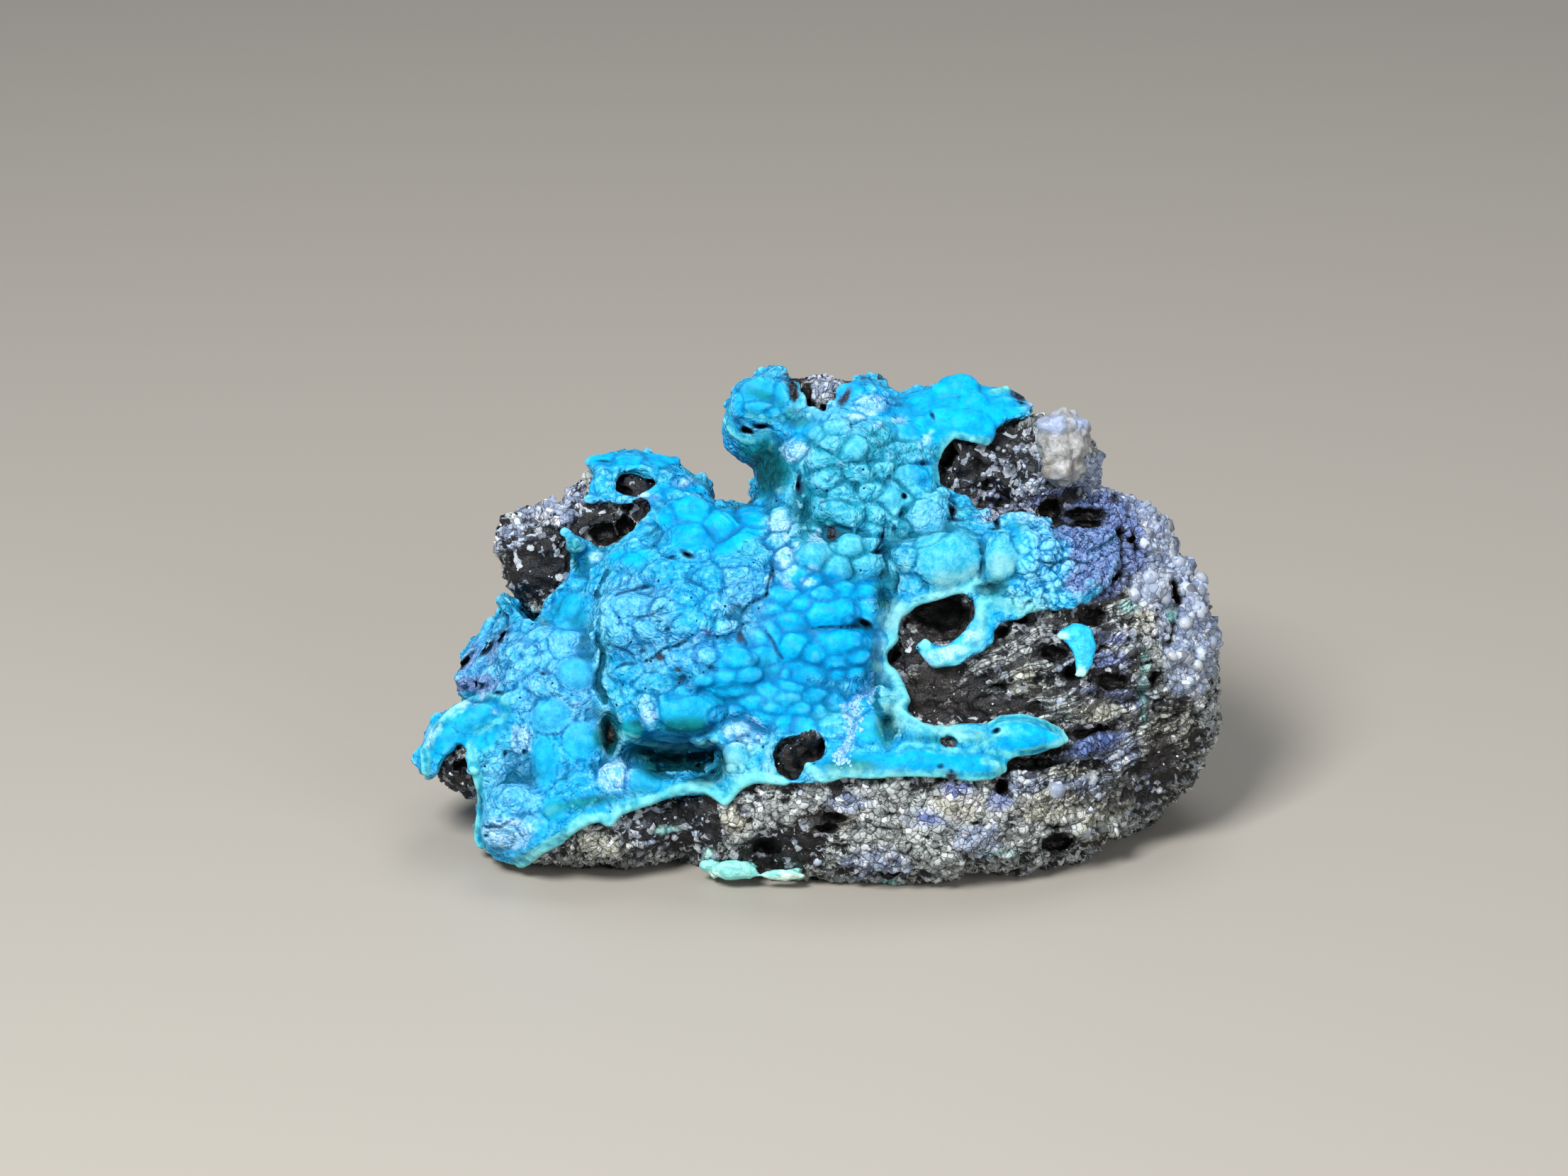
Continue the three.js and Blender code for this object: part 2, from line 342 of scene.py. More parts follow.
def creaseFields(points, lumps):
    # for each point, how far inside a lump it is as a share, and how far from the nearest crease, in mm
    first, second = np.zeros(len(points)), np.zeros(len(points))
    firstSize, secondSize = np.full(len(points), 9.0), np.full(len(points), 9.0)
    for u, v, a, b, *rest in lumps:
        turn = math.radians(rest[0] if rest else 0)
        packed = blobField(np.array([[u, v, 0]]), crust["packed"])[0] > 0
        reach = 1.9 if packed else 1.25
        near = np.nonzero(np.hypot(points[:, 0] - u, points[:, 1] - v) < reach * max(a, b))[0]
        x, y = points[near, 0] - u, points[near, 1] - v
        across = (x * math.cos(turn) + y * math.sin(turn)) / (a * reach)
        upward = (y * math.cos(turn) - x * math.sin(turn)) / (b * reach)
        share = 1 - np.hypot(across, upward)
        best = share > first[near]
        second[near[best]], secondSize[near[best]] = first[near[best]], firstSize[near[best]]
        first[near[best]], firstSize[near[best]] = share[best], min(a, b)
        runnerUp = ~best & (share > second[near])
        second[near[runnerUp]], secondSize[near[runnerUp]] = share[runnerUp], min(a, b)
    gap = (first - second) / (1 / firstSize + 1 / secondSize)
    return first, np.where(first > 0, gap, 0.6), firstSize


def wobbled(points, size, amount, seed):
    # the points moved about by a few slow waves, so that drawn outlines aren't smooth
    dice = np.random.default_rng(seed)
    result = points.copy()
    for share in (1.0, 0.55, 0.3):
        for axis in (0, 1):
            ways = dice.normal(size=(3, 3)) / (size * share)
            waves = np.sin(points @ ways.T + dice.uniform(0, 6.3, 3)).sum(axis=1)
            result[:, axis] += waves * amount * share / 2
    return result


def normalsOf(piece):
    normals = np.empty(len(piece.data.vertices) * 3, np.float32)
    piece.data.vertex_normals.foreach_get("vector", normals)
    return normals.reshape(-1, 3).astype(float)


def frontShare(points, depth=2.4):
    behind = np.clip((frontOf(points) - depth) / 0.8, 0, 1)
    far = np.clip((stone["backOf"] - points[:, 2]) / 1.5, 0, 1)
    return 1 - np.maximum(behind, far)


def onFront(points, field, depth=2.4):
    share = frontShare(points, depth)
    return field * share - 3 * (1 - share)


def setField(piece, name, values):
    layer = piece.data.attributes.get(name) or piece.data.attributes.new(name, "FLOAT", "POINT")
    layer.data.foreach_set("value", values.astype(np.float32))


def sunk(points, fields, depth, edge):
    # pushes the front in where a field is above 0, with walls `edge` wide
    share = np.clip(fields / edge, 0, 1)
    points[:, 2] -= depth * share * share * (3 - 2 * share)
    return points


def scatterTree(name):
    # lumps strewn over a surface, sized at random, each sunk into it
    tree = bpy.data.node_groups.new(name, "GeometryNodeTree")
    for label, kind in (
        ("Surface", "Geometry"),
        ("Lump", "Object"),
        ("Gap", "Float"),
        ("Density", "Float"),
        ("Smallest", "Float"),
        ("Largest", "Float"),
        ("Sink", "Float"),
        ("Where", "String"),
        ("Seed", "Int"),
    ):
        tree.interface.new_socket(label, in_out="INPUT", socket_type="NodeSocket" + kind)
    tree.interface.new_socket("Lumps", in_out="OUTPUT", socket_type="NodeSocketGeometry")
    g = Graph(tree)
    given = g.add("NodeGroupInput", output="Surface")
    named = g.add("GeometryNodeInputNamedAttribute", {"data_type": "FLOAT"}, {"Name": given.other("Where")})
    spread = g.add(
        "GeometryNodeDistributePointsOnFaces",
        {"distribute_method": "POISSON"},
        {
            "Mesh": given,
            "Distance Min": given.other("Gap"),
            "Density Max": given.other("Density"),
            "Density Factor": named,
            "Seed": given.other("Seed"),
        },
        "Points",
    )
    size = g.add(
        "FunctionNodeRandomValue",
        {"data_type": "FLOAT"},
        {2: given.other("Smallest"), 3: given.other("Largest"), "Seed": given.other("Seed")},
        1,
    )
    turn = g.add(
        "FunctionNodeRandomValue",
        {"data_type": "FLOAT_VECTOR"},
        {0: (-0.5, -0.5, 0.0), 1: (0.5, 0.5, 6.28), "Seed": given.other("Seed")},
    )
    stretch = g.add(
        "FunctionNodeRandomValue",
        {"data_type": "FLOAT_VECTOR"},
        {0: (0.75, 0.75, 0.6), 1: (1.25, 1.25, 1.0), "Seed": given.other("Seed")},
    )
    model = g.add("GeometryNodeObjectInfo", {}, {"Object": given.other("Lump")}, "Geometry")
    placed = g.add(
        "GeometryNodeInstanceOnPoints",
        {},
        {"Points": spread, "Instance": model, "Rotation": spread.other("Rotation")},
    )
    drop = g.add("ShaderNodeCombineXYZ", {}, {"Z": given.other("Sink") * -1.0})
    placed = g.add("GeometryNodeTranslateInstances", {}, {"Instances": placed, "Translation": drop})
    placed = g.add("GeometryNodeRotateInstances", {}, {"Instances": placed, "Rotation": turn})
    placed = g.add("GeometryNodeScaleInstances", {}, {"Instances": placed, "Scale": g.scaled(stretch, size)})
    solid = g.add("GeometryNodeRealizeInstances", {}, {"Geometry": placed})
    solid = g.add("GeometryNodeSetMaterial", {}, {"Geometry": solid})
    g.add("NodeGroupOutput", {}, {"Lumps": solid})
    return tree


def strayTree(name):
    # drops the loose bits of a mesh that have fewer points than asked
    tree = bpy.data.node_groups.new(name, "GeometryNodeTree")
    tree.interface.new_socket("Surface", in_out="INPUT", socket_type="NodeSocketGeometry")
    tree.interface.new_socket("Least", in_out="INPUT", socket_type="NodeSocketFloat")
    tree.interface.new_socket("Whole", in_out="OUTPUT", socket_type="NodeSocketGeometry")
    g = Graph(tree)
    given = g.add("NodeGroupInput", output="Surface")
    island = g.add("GeometryNodeInputMeshIsland")
    count = g.add("GeometryNodeAccumulateField", {}, {"Value": 1.0, "Group ID": island}, "Total")
    small = g.math("LESS_THAN", count, given.other("Least"))
    kept = g.add("GeometryNodeDeleteGeometry", {}, {"Geometry": given, "Selection": small})
    g.add("NodeGroupOutput", {}, {"Whole": kept})
    return tree


def runTree(piece, tree, values):
    # runs a geometry tree on a piece with its inputs set by their identifiers
    modifier = piece.modifiers.new(tree.name, "NODES")
    modifier.node_group = tree
    names = {item.name: item.identifier for item in tree.interface.items_tree if item.in_out == "INPUT"}
    for name, value in values.items():
        modifier[names[name]] = value
    return settled(piece)


def ballObject(detail, roughness, seed):
    # a slightly irregular ball that the scatter trees repeat
    points, faces = ballTemplate(detail)
    dice = np.random.default_rng(seed)
    points = points * (1 + roughness * dice.uniform(-1, 1, (len(points), 1)))
    ball = meshObject(f"ball{detail}", points, faces)
    ball.hide_render = True
    return ball


strewn = scatterTree("strewnLumps")
strays = strayTree("strays")
roundBall = ballObject(2, 0.06, 3)
print("helpers ready")

# the blue crust

crust = {
    "voxel": 0.15,
    "rise": 0.42,  # share of a lump that stands out of the skin
    "pillow": 0.11,  # how much a lump swells between its creases
    "smallLumps": (0.45, 1.15, 0.55, 4),  # smallest, largest, gap between, seed
    "faces": 195000,
    # the lumps that can be told apart: u, v, half width, half height, turn, share standing out
    "lumps": [
        # the smooth lumps at the middle
        (0.7, 17.0, 1.75, 1.0), (2.85, 17.15, 0.72, 1.05, -18, 0.7), (1.6, 16.55, 0.55, 0.36, 0, 0.8),
        (1.35, 15.3, 1.5, 0.85), (-1.7, 15.0, 1.05, 0.95, 20), (-0.55, 14.5, 0.95, 0.75), (2.3, 14.35, 0.8, 0.5),
        (0.9, 14.0, 0.8, 0.5), (-0.8, 13.4, 1.25, 0.72, -20), (1.0, 13.45, 0.55, 0.42), (2.1, 13.35, 0.65, 0.45),
        (1.7, 12.5, 0.72, 0.42, -15), (0.5, 12.75, 0.42, 0.27), (-0.3, 12.05, 0.95, 0.5, 10), (0.8, 11.7, 0.6, 0.6),
        (-1.8, 12.6, 0.9, 0.35, -10), (-2.0, 11.9, 0.9, 0.5), (-1.2, 11.2, 0.8, 0.5), (-0.1, 11.1, 0.65, 0.5),
        (-2.1, 16.7, 1.1, 0.62, -15), (-2.9, 17.4, 0.8, 0.6), (-1.5, 17.65, 0.9, 0.6), (-3.0, 16.0, 0.6, 0.7),
        (-3.8, 15.5, 0.9, 0.6), (-3.6, 14.6, 0.9, 0.7), (-2.9, 13.6, 0.5, 0.35), (-2.2, 13.35, 0.35, 0.3),
        (-5.3, 14.3, 1.5, 0.8), (-6.8, 14.4, 1.0, 0.8), (-4.5, 13.2, 1.0, 0.6), (-5.8, 13.2, 0.9, 0.5),
        (-7.2, 12.9, 1.3, 0.4, 18, 0.7), (-8.2, 12.4, 1.2, 0.4, 22, 0.7), (-5.0, 12.2, 0.9, 0.4),
        (-3.4, 12.4, 0.8, 0.5), (-4.4, 11.6, 0.9, 0.5), (-3.1, 11.3, 0.8, 0.5), (-2.4, 10.4, 0.8, 0.45),
        (-3.6, 10.6, 0.8, 0.5), (-1.2, 10.3, 0.8, 0.4), (0.6, 10.5, 0.9, 0.6), (-5.3, 11.1, 0.7, 0.45),
        (2.8, 15.2, 0.5, 0.5), (3.1, 13.7, 0.4, 0.5), (2.9, 10.2, 0.9, 0.9), (2.2, 11.6, 0.5, 0.6),
        # the glassy dome, the green tab and the powdery lumps by the dark hollow
        (-8.3, 11.0, 1.95, 1.25, 0, 0.62), (-6.4, 10.8, 0.4, 0.55), (-10.7, 10.9, 0.9, 1.3), (-11.5, 10.2, 0.85, 0.9),
        (-4.9, 9.9, 1.25, 0.75), (-5.3, 8.4, 0.8, 1.0, 0, 0.8), (-5.6, 7.6, 0.45, 0.4, 0, 0.9),
        (-7.1, 8.9, 0.9, 0.28, 10, 0.9), (-9.3, 9.3, 1.4, 0.35, -8, 0.9),
        (-12.7, 7.1, 1.0, 0.95, 0, 0.7), (-11.2, 6.8, 1.2, 0.75, -20, 0.7),
        # the column
        (-0.6, 20.4, 1.0, 0.95, 0, 0.62), (-1.5, 19.4, 1.1, 0.8, 0, 0.62), (-0.6, 18.9, 0.9, 0.6, 0, 0.62),
        (1.0, 19.7, 0.95, 0.75, 0, 0.62), (2.8, 19.9, 1.1, 0.7, 0, 0.62), (1.4, 18.6, 0.9, 0.5, 0, 0.62),
        (2.7, 18.4, 0.9, 0.5, 0, 0.62), (0.1, 18.3, 1.0, 0.6, 0, 0.62), (-2.2, 18.1, 1.1, 0.7, 0, 0.62),
        (1.9, 21.35, 0.95, 0.8, 0, 0.75), (3.15, 21.45, 0.55, 0.5, 0, 0.7),
        (3.15, 22.25, 0.7, 0.45, -15, 0.7), (1.3, 23.25, 1.65, 0.72, -33, 0.75),
        (3.5, 23.2, 0.5, 0.62, 0, 0.62), (4.3, 24.3, 0.8, 0.78, 0, 0.65), (5.9, 25.6, 0.95, 0.6, 0, 0.65),
        (3.2, 24.75, 0.8, 0.45, 0, 0.62), (2.5, 25.8, 0.85, 0.6, 0, 0.62), (3.9, 26.1, 0.8, 0.5, 0, 0.62),
        (2.1, 27.15, 0.88, 0.58, 0, 0.65), (-1.5, 27.3, 0.95, 0.85, 0, 0.6),
        (-0.2, 28.3, 0.75, 0.6, 0, 0.62), (0.9, 28.75, 0.85, 0.6, 0, 0.62), (0.7, 27.5, 0.9, 0.6, 0, 0.62),
        (-0.2, 26.6, 0.9, 0.8, 0, 0.62), (0.2, 25.3, 0.75, 0.8, 0, 0.62), (3.0, 28.6, 1.0, 0.5, 0, 0.62),
        (3.9, 28.1, 0.6, 0.5, 0, 0.62), (5.2, 28.3, 0.9, 0.7, 0, 0.62), (4.8, 27.4, 0.8, 0.45, 0, 0.62),
        (4.0, 26.9, 0.9, 0.35, 0, 0.7), (5.6, 26.7, 0.9, 0.28, 0, 0.8), (1.2, 24.4, 0.9, 0.6, 0, 0.62),
        # the top lobe and the top of the column
        (-3.6, 31.1, 1.4, 0.85), (-2.4, 31.0, 0.9, 0.85), (-4.0, 30.0, 1.0, 0.42, 0, 0.7), (-2.9, 29.6, 0.5, 0.35),
        (-5.3, 30.1, 0.5, 0.8), (-2.3, 28.5, 0.7, 0.55), (-1.25, 30.2, 0.35, 0.9, 0, 0.8), (-1.7, 31.2, 0.5, 0.7),
        (3.2, 30.2, 1.1, 0.7, 0, 0.6), (1.8, 31.1, 0.9, 0.6), (2.2, 29.3, 0.5, 0.3), (4.6, 30.8, 0.8, 0.6),
        # the valley
        (-8.1, 21.75, 1.2, 0.88, 0, 0.65), (-8.4, 23.6, 1.5, 0.9), (-7.7, 24.8, 0.8, 0.42), (-6.2, 22.6, 1.1, 0.9),
        (-4.3, 23.1, 0.85, 0.5), (-3.6, 24.0, 0.9, 0.4), (-2.4, 24.6, 0.65, 0.45), (-2.55, 23.0, 0.85, 0.85),
        (-2.9, 21.6, 0.85, 0.6), (-4.9, 21.3, 1.2, 1.0), (-2.2, 20.3, 0.75, 0.95, 0, 0.6), (-3.3, 19.1, 0.4, 0.5),
        (-6.9, 19.3, 1.2, 0.8), (-5.3, 19.4, 1.0, 0.8), (-8.3, 18.3, 1.2, 0.8), (-6.3, 17.5, 1.1, 0.7),
        (-10.2, 19.6, 1.0, 0.7), (-11.9, 20.1, 1.0, 0.6), (-9.6, 17.3, 1.0, 0.7), (-11.6, 17.6, 1.2, 0.7),
        (-10.5, 15.9, 1.1, 0.6), (-12.3, 15.6, 0.9, 0.8), (-7.8, 16.3, 1.1, 0.7), (-12.1, 13.6, 1.0, 0.8),
        (-10.3, 12.7, 1.2, 0.6), (-9.0, 14.3, 0.6, 0.5),
        # the cap
        (-14.0, 26.75, 0.95, 0.5), (-12.0, 26.75, 1.1, 0.42), (-10.2, 26.8, 1.2, 0.5), (-8.6, 27.0, 0.8, 0.4),
        (-13.8, 25.5, 0.5, 0.9), (-14.4, 24.1, 0.6, 0.35), (-13.2, 23.85, 0.9, 0.3), (-9.7, 25.6, 0.6, 0.7),
        (-8.7, 25.3, 0.9, 0.36, 0, 0.7), (-9.0, 24.4, 1.0, 0.55), (-9.8, 23.2, 0.9, 0.7), (-10.6, 22.2, 0.9, 0.6),
        (-14.15, 20.3, 0.8, 0.85, 0, 0.7), (-15.3, 21.2, 0.7, 0.6, 0, 0.7),
        # the left slope and the toe
        (-15.1, 13.3, 1.15, 1.12, 0, 0.6), (-16.8, 10.8, 1.15, 1.1, 0, 0.55), (-17.2, 7.9, 0.8, 1.5, 10),
        (-16.4, 5.0, 0.75, 0.6), (-14.7, 9.3, 1.1, 1.0), (-14.7, 6.9, 0.9, 0.9), (-19.4, 9.2, 1.2, 0.9),
        (-20.3, 6.7, 0.8, 1.0), (-18.7, 5.7, 1.2, 0.8), (-19.8, 3.2, 1.3, 0.9), (-17.6, 3.9, 0.9, 0.7),
        (-15.4, 17.2, 1.2, 1.2), (-15.7, 15.3, 1.1, 0.9), (-17.3, 12.6, 1.1, 0.9), (-19.0, 11.6, 1.1, 0.7),
        (-21.4, 10.6, 1.3, 0.7, 28, 0.5), (-23.6, 9.2, 0.9, 0.9),
        # the left back, in fingers
        (-21.2, 15.9, 0.5, 1.1, -20, 0.7), (-20.2, 16.2, 0.55, 0.8, -30, 0.7), (-19.3, 16.6, 0.5, 0.6, 0, 0.7),
        (-18.4, 16.3, 0.45, 0.5, 0, 0.7), (-22.3, 14.2, 0.45, 0.8, -35, 0.7), (-22.6, 12.9, 0.6, 0.5, 0, 0.7),
        (-21.0, 14.3, 0.9, 0.5, 35, 0.6), (-20.6, 13.4, 1.3, 0.4, 30, 0.6), (-19.0, 14.7, 1.4, 0.45, 35, 0.6),
        (-17.9, 15.6, 1.2, 0.5, 35, 0.6), (-18.6, 13.5, 1.3, 0.5, 32, 0.5),
        # the right flank
        (7.9, 20.2, 2.25, 1.9, 5, 0.5), (6.3, 22.5, 1.6, 1.4, -30, 0.4), (5.5, 18.7, 0.9, 0.75, 0, 0.6), (11.05, 20.5, 1.15, 1.6, 0, 0.7),
        (5.2, 20.6, 0.8, 0.9),  (5.1, 22.0, 0.75, 0.65), (8.9, 23.9, 0.65, 0.75, 0, 0.8),
        (10.4, 22.95, 1.0, 0.5, 25, 0.75), (12.6, 23.05, 1.1, 0.28, -12, 0.9), (12.6, 21.5, 0.9, 0.8), (13.9, 21.2, 0.8, 0.6),
        (12.7, 19.9, 0.9, 0.8), (12.0, 18.6, 0.9, 0.6), (13.9, 20.4, 0.5, 0.35, 0, 0.7), (15.2, 19.75, 0.6, 0.5, 0, 0.7),
        (14.2, 18.7, 0.6, 0.5), (13.3, 18.2, 0.7, 0.5), (15.9, 21.6, 0.7, 0.45), (16.9, 20.4, 0.7, 0.5),
        (15.7, 18.4, 0.6, 0.45), (16.8, 19.2, 0.6, 0.45), (17.5, 21.6, 0.6, 0.5), (14.8, 22.6, 0.5, 0.3, 0, 0.8),
    ],
    # the crest, the lower band and the seam's tongue, which swell without creases
    "swells": [
        (8.9, 31.3, 1.2, 0.95), (7.6, 30.9, 0.9, 0.8), (9.7, 30.4, 1.0, 0.8), (6.4, 30.4, 1.1, 0.7),
        (9.4, 29.0, 1.5, 1.0), (7.6, 29.3, 1.1, 0.9), (10.6, 28.5, 0.55, 0.8), (6.3, 28.9, 0.8, 0.7),
        (11.4, 30.3, 0.9, 0.5, 15), (12.9, 31.2, 0.8, 0.45, 20), (13.3, 30.4, 0.7, 0.35), (12.2, 29.7, 0.8, 0.3, 18),
        (3.1, 7.9, 2.3, 0.62), (6.2, 8.1, 2.2, 0.75), (8.9, 7.8, 2.1, 0.68), (10.4, 7.6, 0.75, 0.5),
        (0.8, 7.6, 1.0, 0.6), (12.0, 9.6, 1.9, 1.0, -6, 0.5), (13.3, 9.4, 1.7, 0.6, -8, 0.5), (6.4, 10.1, 0.7, 0.35, -15),
        (8.9, 10.0, 1.35, 0.42), (9.0, 9.5, 0.5, 0.4),
    ],
    # rims and folds that run along a line: u, v, radius
    "ropes": [
        # the toe's edge and the shelf over the foot
        [(-21.75, 8.8, 0.3), (-21.45, 7.4, 0.34), (-21.1, 6.0, 0.34), (-21.2, 4.5, 0.34), (-21.35, 3.0, 0.36),
         (-21.0, 2.2, 0.36), (-20.4, 1.5, 0.36), (-19.9, 1.15, 0.36), (-19.1, 1.35, 0.36), (-18.2, 1.8, 0.38),
         (-17.2, 2.6, 0.38), (-16.1, 3.2, 0.38), (-15.1, 4.0, 0.4), (-14.3, 4.5, 0.38), (-13.5, 4.6, 0.38),
         (-13.0, 4.3, 0.36), (-12.4, 5.0, 0.38), (-11.3, 5.4, 0.4), (-10.0, 5.8, 0.4), (-9.0, 6.2, 0.4),
         (-8.0, 6.4, 0.4), (-7.0, 6.35, 0.4), (-6.4, 6.0, 0.4), (-5.9, 5.6, 0.36), (-5.5, 6.1, 0.36),
         (-5.0, 6.7, 0.4), (-4.2, 7.1, 0.42), (-3.3, 7.0, 0.36), (-2.3, 6.8, 0.28)],
        # the ledge over the cave
        [(-12.3, 9.6, 0.22), (-11.3, 9.1, 0.28), (-10.1, 8.95, 0.26), (-8.9, 8.75, 0.28), (-7.8, 8.85, 0.28), (-6.8, 9.1, 0.26),
         (-6.2, 9.7, 0.2)],
        # round the ear
        [(-24.6, 7.2, 0.36), (-24.7, 8.4, 0.36), (-24.0, 9.8, 0.34), (-22.9, 10.9, 0.3), (-21.7, 11.6, 0.34),
         (-20.6, 11.9, 0.34), (-19.7, 11.6, 0.34), (-19.5, 10.9, 0.3), (-20.2, 10.2, 0.26), (-21.4, 9.7, 0.26)],
        # the lower band's edges
        [(-1.0, 7.9, 0.3), (0.1, 7.0, 0.3), (1.4, 7.3, 0.28), (3.0, 7.25, 0.28), (5.0, 7.35, 0.26),
         (7.3, 7.3, 0.26), (9.0, 7.05, 0.28), (10.3, 7.15, 0.28), (11.1, 7.55, 0.28), (10.7, 8.0, 0.26), (9.9, 8.1, 0.24)],
        [(4.7, 8.7, 0.3), (5.2, 9.0, 0.26), (6.2, 8.95, 0.22), (7.6, 8.7, 0.22), (8.8, 8.6, 0.22), (9.6, 8.9, 0.26),
         (10.6, 9.5, 0.26), (11.2, 9.9, 0.24)],
        # round the seam's tongue
        [(10.2, 8.6, 0.26), (11.4, 8.45, 0.24), (12.8, 8.55, 0.24), (14.0, 8.95, 0.24), (15.0, 9.25, 0.26),
         (14.7, 9.8, 0.24), (13.7, 10.3, 0.22), (12.3, 10.7, 0.24), (11.0, 10.6, 0.24), (10.4, 10.3, 0.2)],
        [(5.7, 10.4, 0.26), (6.5, 9.85, 0.24), (7.3, 10.1, 0.2), (8.3, 9.6, 0.24), (9.1, 9.25, 0.24), (9.8, 9.6, 0.22)],
        # the fold left of the dark window and down to the seam
        [(5.4, 17.5, 0.42), (4.6, 17.0, 0.5), (4.1, 16.3, 0.52), (4.4, 15.5, 0.46), (3.7, 14.7, 0.4),
         (3.8, 13.8, 0.4), (4.4, 13.2, 0.42), (4.8, 12.4, 0.46), (5.1, 11.7, 0.44), (4.7, 11.1, 0.36),
         (5.3, 10.6, 0.32), (5.9, 10.3, 0.3)],
        # the lip over the window
        [(5.3, 17.5, 0.34), (6.1, 17.85, 0.32), (7.2, 18.1, 0.3), (8.3, 18.45, 0.3), (9.2, 18.6, 0.34), (9.7, 19.3, 0.3)],
        # the ribbon under the window
        [(6.4, 15.2, 0.3), (6.5, 14.6, 0.42), (7.2, 14.1, 0.46), (8.1, 14.3, 0.5), (8.9, 14.9, 0.5),
         (9.5, 15.6, 0.5), (9.9, 16.4, 0.46), (9.9, 17.2, 0.5), (10.0, 17.7, 0.5), (11.0, 17.6, 0.42),
         (12.2, 17.2, 0.34), (13.2, 17.4, 0.28)],
        # round the dark nub
        [(-2.7, 9.7, 0.22), (-3.2, 8.9, 0.3), (-3.2, 8.0, 0.32), (-2.9, 7.3, 0.3)],
        # the column's sharp left ridge
        [(-2.4, 27.2, 0.3), (-2.0, 26.2, 0.3), (-1.7, 25.4, 0.22), (-1.75, 24.4, 0.18), (-1.6, 23.2, 0.2),
         (-1.55, 22.0, 0.2)],
        # the lobe's folds and its underside
        [(-5.9, 29.2, 0.3), (-5.5, 28.5, 0.3), (-4.9, 28.0, 0.26), (-4.2, 27.9, 0.24), (-3.5, 28.3, 0.24), (-2.9, 27.9, 0.24)],
        [(-4.6, 29.5, 0.2), (-4.0, 29.3, 0.2), (-3.2, 29.2, 0.22), (-2.4, 29.2, 0.2)],
        # along the crest and round the top hollow
        [(10.9, 31.0, 0.24), (12.0, 31.3, 0.24), (13.3, 31.6, 0.26)],
        [(7.3, 25.4, 0.22), (7.1, 26.3, 0.26), (7.5, 27.4, 0.28), (8.3, 28.2, 0.26), (9.3, 28.0, 0.24), (10.4, 27.8, 0.3)],
        # the pale fold by the black knob
        [(-16.2, 22.2, 0.3), (-15.6, 21.8, 0.36), (-15.2, 21.0, 0.4), (-14.5, 20.3, 0.4), (-14.2, 19.6, 0.3)],
    ],
    # holes and cracks that are pushed in: u, v, half width, half height, turn
    "pits": [
        (-9.2, 6.9, 0.08, 0.08), (-6.75, 13.75, 0.15, 0.1), (-8.2, 20.6, 0.38, 0.17, -20), (-9.2, 20.4, 0.22, 0.09),
        (-8.7, 13.05, 0.26, 0.1), (-11, 14.8, 0.19, 0.09), (-9.4, 16.1, 0.15, 0.08, 50), (-10.9, 18.75, 0.22, 0.09),
        (-4.6, 28.55, 0.45, 0.27), (-3.7, 28.85, 0.6, 0.15, -15), (0.3, 24, 0.17, 0.08, 15), (4.25, 25.55, 0.15, 0.1),
        (6.4, 26.4, 0.3, 0.11), (7.1, 29.4, 0.09, 0.22, 20), (-13.7, 26.55, 0.3, 0.09), (-8.9, 26.3, 0.56, 0.14),
        (2.75, 16.3, 0.46, 0.22, -30), (3.6, 20.75, 0.38, 0.12), (3.85, 21.7, 0.11, 0.38),
        (5.1, 24.4, 0.19, 0.17), (-3, 19.75, 0.1, 0.32), (-3.4, 18.25, 0.14, 0.11, 40), (11, 22.6, 0.17, 0.49),
        (10.8, 22.15, 0.3, 0.09), (8.3, 23.3, 0.22, 0.41), (8.3, 22.85, 0.45, 0.09), (7.1, 7.75, 0.17, 0.11),
        (7.75, 7.45, 0.11, 0.08), (10.5, 9.9, 0.19, 0.15), (-19.65, 8.4, 0.12, 0.2, -20), (-18.4, 8.4, 0.12, 0.11),
        (-20.65, 3.4, 0.15, 0.11), (-17.1, 13.4, 0.15, 0.08), (-21, 14.9, 0.24, 0.8, -35), (-22.5, 13.9, 0.2, 0.8, -38), (-20.0, 15.6, 0.2, 0.6, -35), (-21.6, 12.5, 0.7, 0.2, 12),
        (12.9, 17.65, 0.12, 0.15), (-1.35, 25, 0.13, 0.6, 5), (-20.2, 12.1, 0.26, 0.11), (4.5, 22.2, 0.11, 0.22),
        (12.6, 30.9, 0.41, 0.11, -15), (12.8, 30.3, 0.26, 0.09), (-20.3, 4.05, 0.38, 0.07), (-13.7, 20.9, 0.15, 0.08),
        (15.6, 20.25, 0.68, 0.08, -8), (17.2, 21, 0.52, 0.08, 22), (14.4, 22.35, 0.19, 0.09),
    ],
    # deep hollows between the lumps
    "hollows": [
        (-13.0, 9.8, 0.75, 1.5, 10), (4.1, 10.2, 0.65, 1.1), (3.9, 18.1, 0.5, 0.8, 20), (10.4, 18.6, 1.2, 0.4),
        (-0.9, 23.6, 0.4, 1.8, -15), (12.9, 22.5, 0.8, 0.25), (0.3, 22.3, 0.9, 0.3, -25), (2.5, 22.6, 0.5, 0.25, -30), (3.0, 21.9, 1.0, 0.2),
        (-1.1, 26.0, 0.25, 0.9), (2.1, 24.9, 0.35, 0.6), (5.0, 23.2, 0.4, 0.9, -10), (5.2, 26.2, 1.0, 0.2), (0.9, 21.0, 0.25, 0.7), (4.1, 20.4, 0.3, 1.2)],
    # caves with steep walls
    "caves": [
        (-9.4, 7.75, 1.7, 0.8, 6), (-7.4, 7.7, 1.5, 0.95, -10), (-6.5, 8.1, 0.65, 0.75), (-10.8, 8.4, 1.1, 0.35, -15),
        (-13.15, 9.4, 0.62, 1.4, 8),
    ],
    "fissures": [
        [(-10.9, 14.1, 0.049), (-10.3, 14.5, 0.07), (-9.7, 14.9, 0.063), (-9, 15.15, 0.084), (-8.2, 15.35, 0.049)],
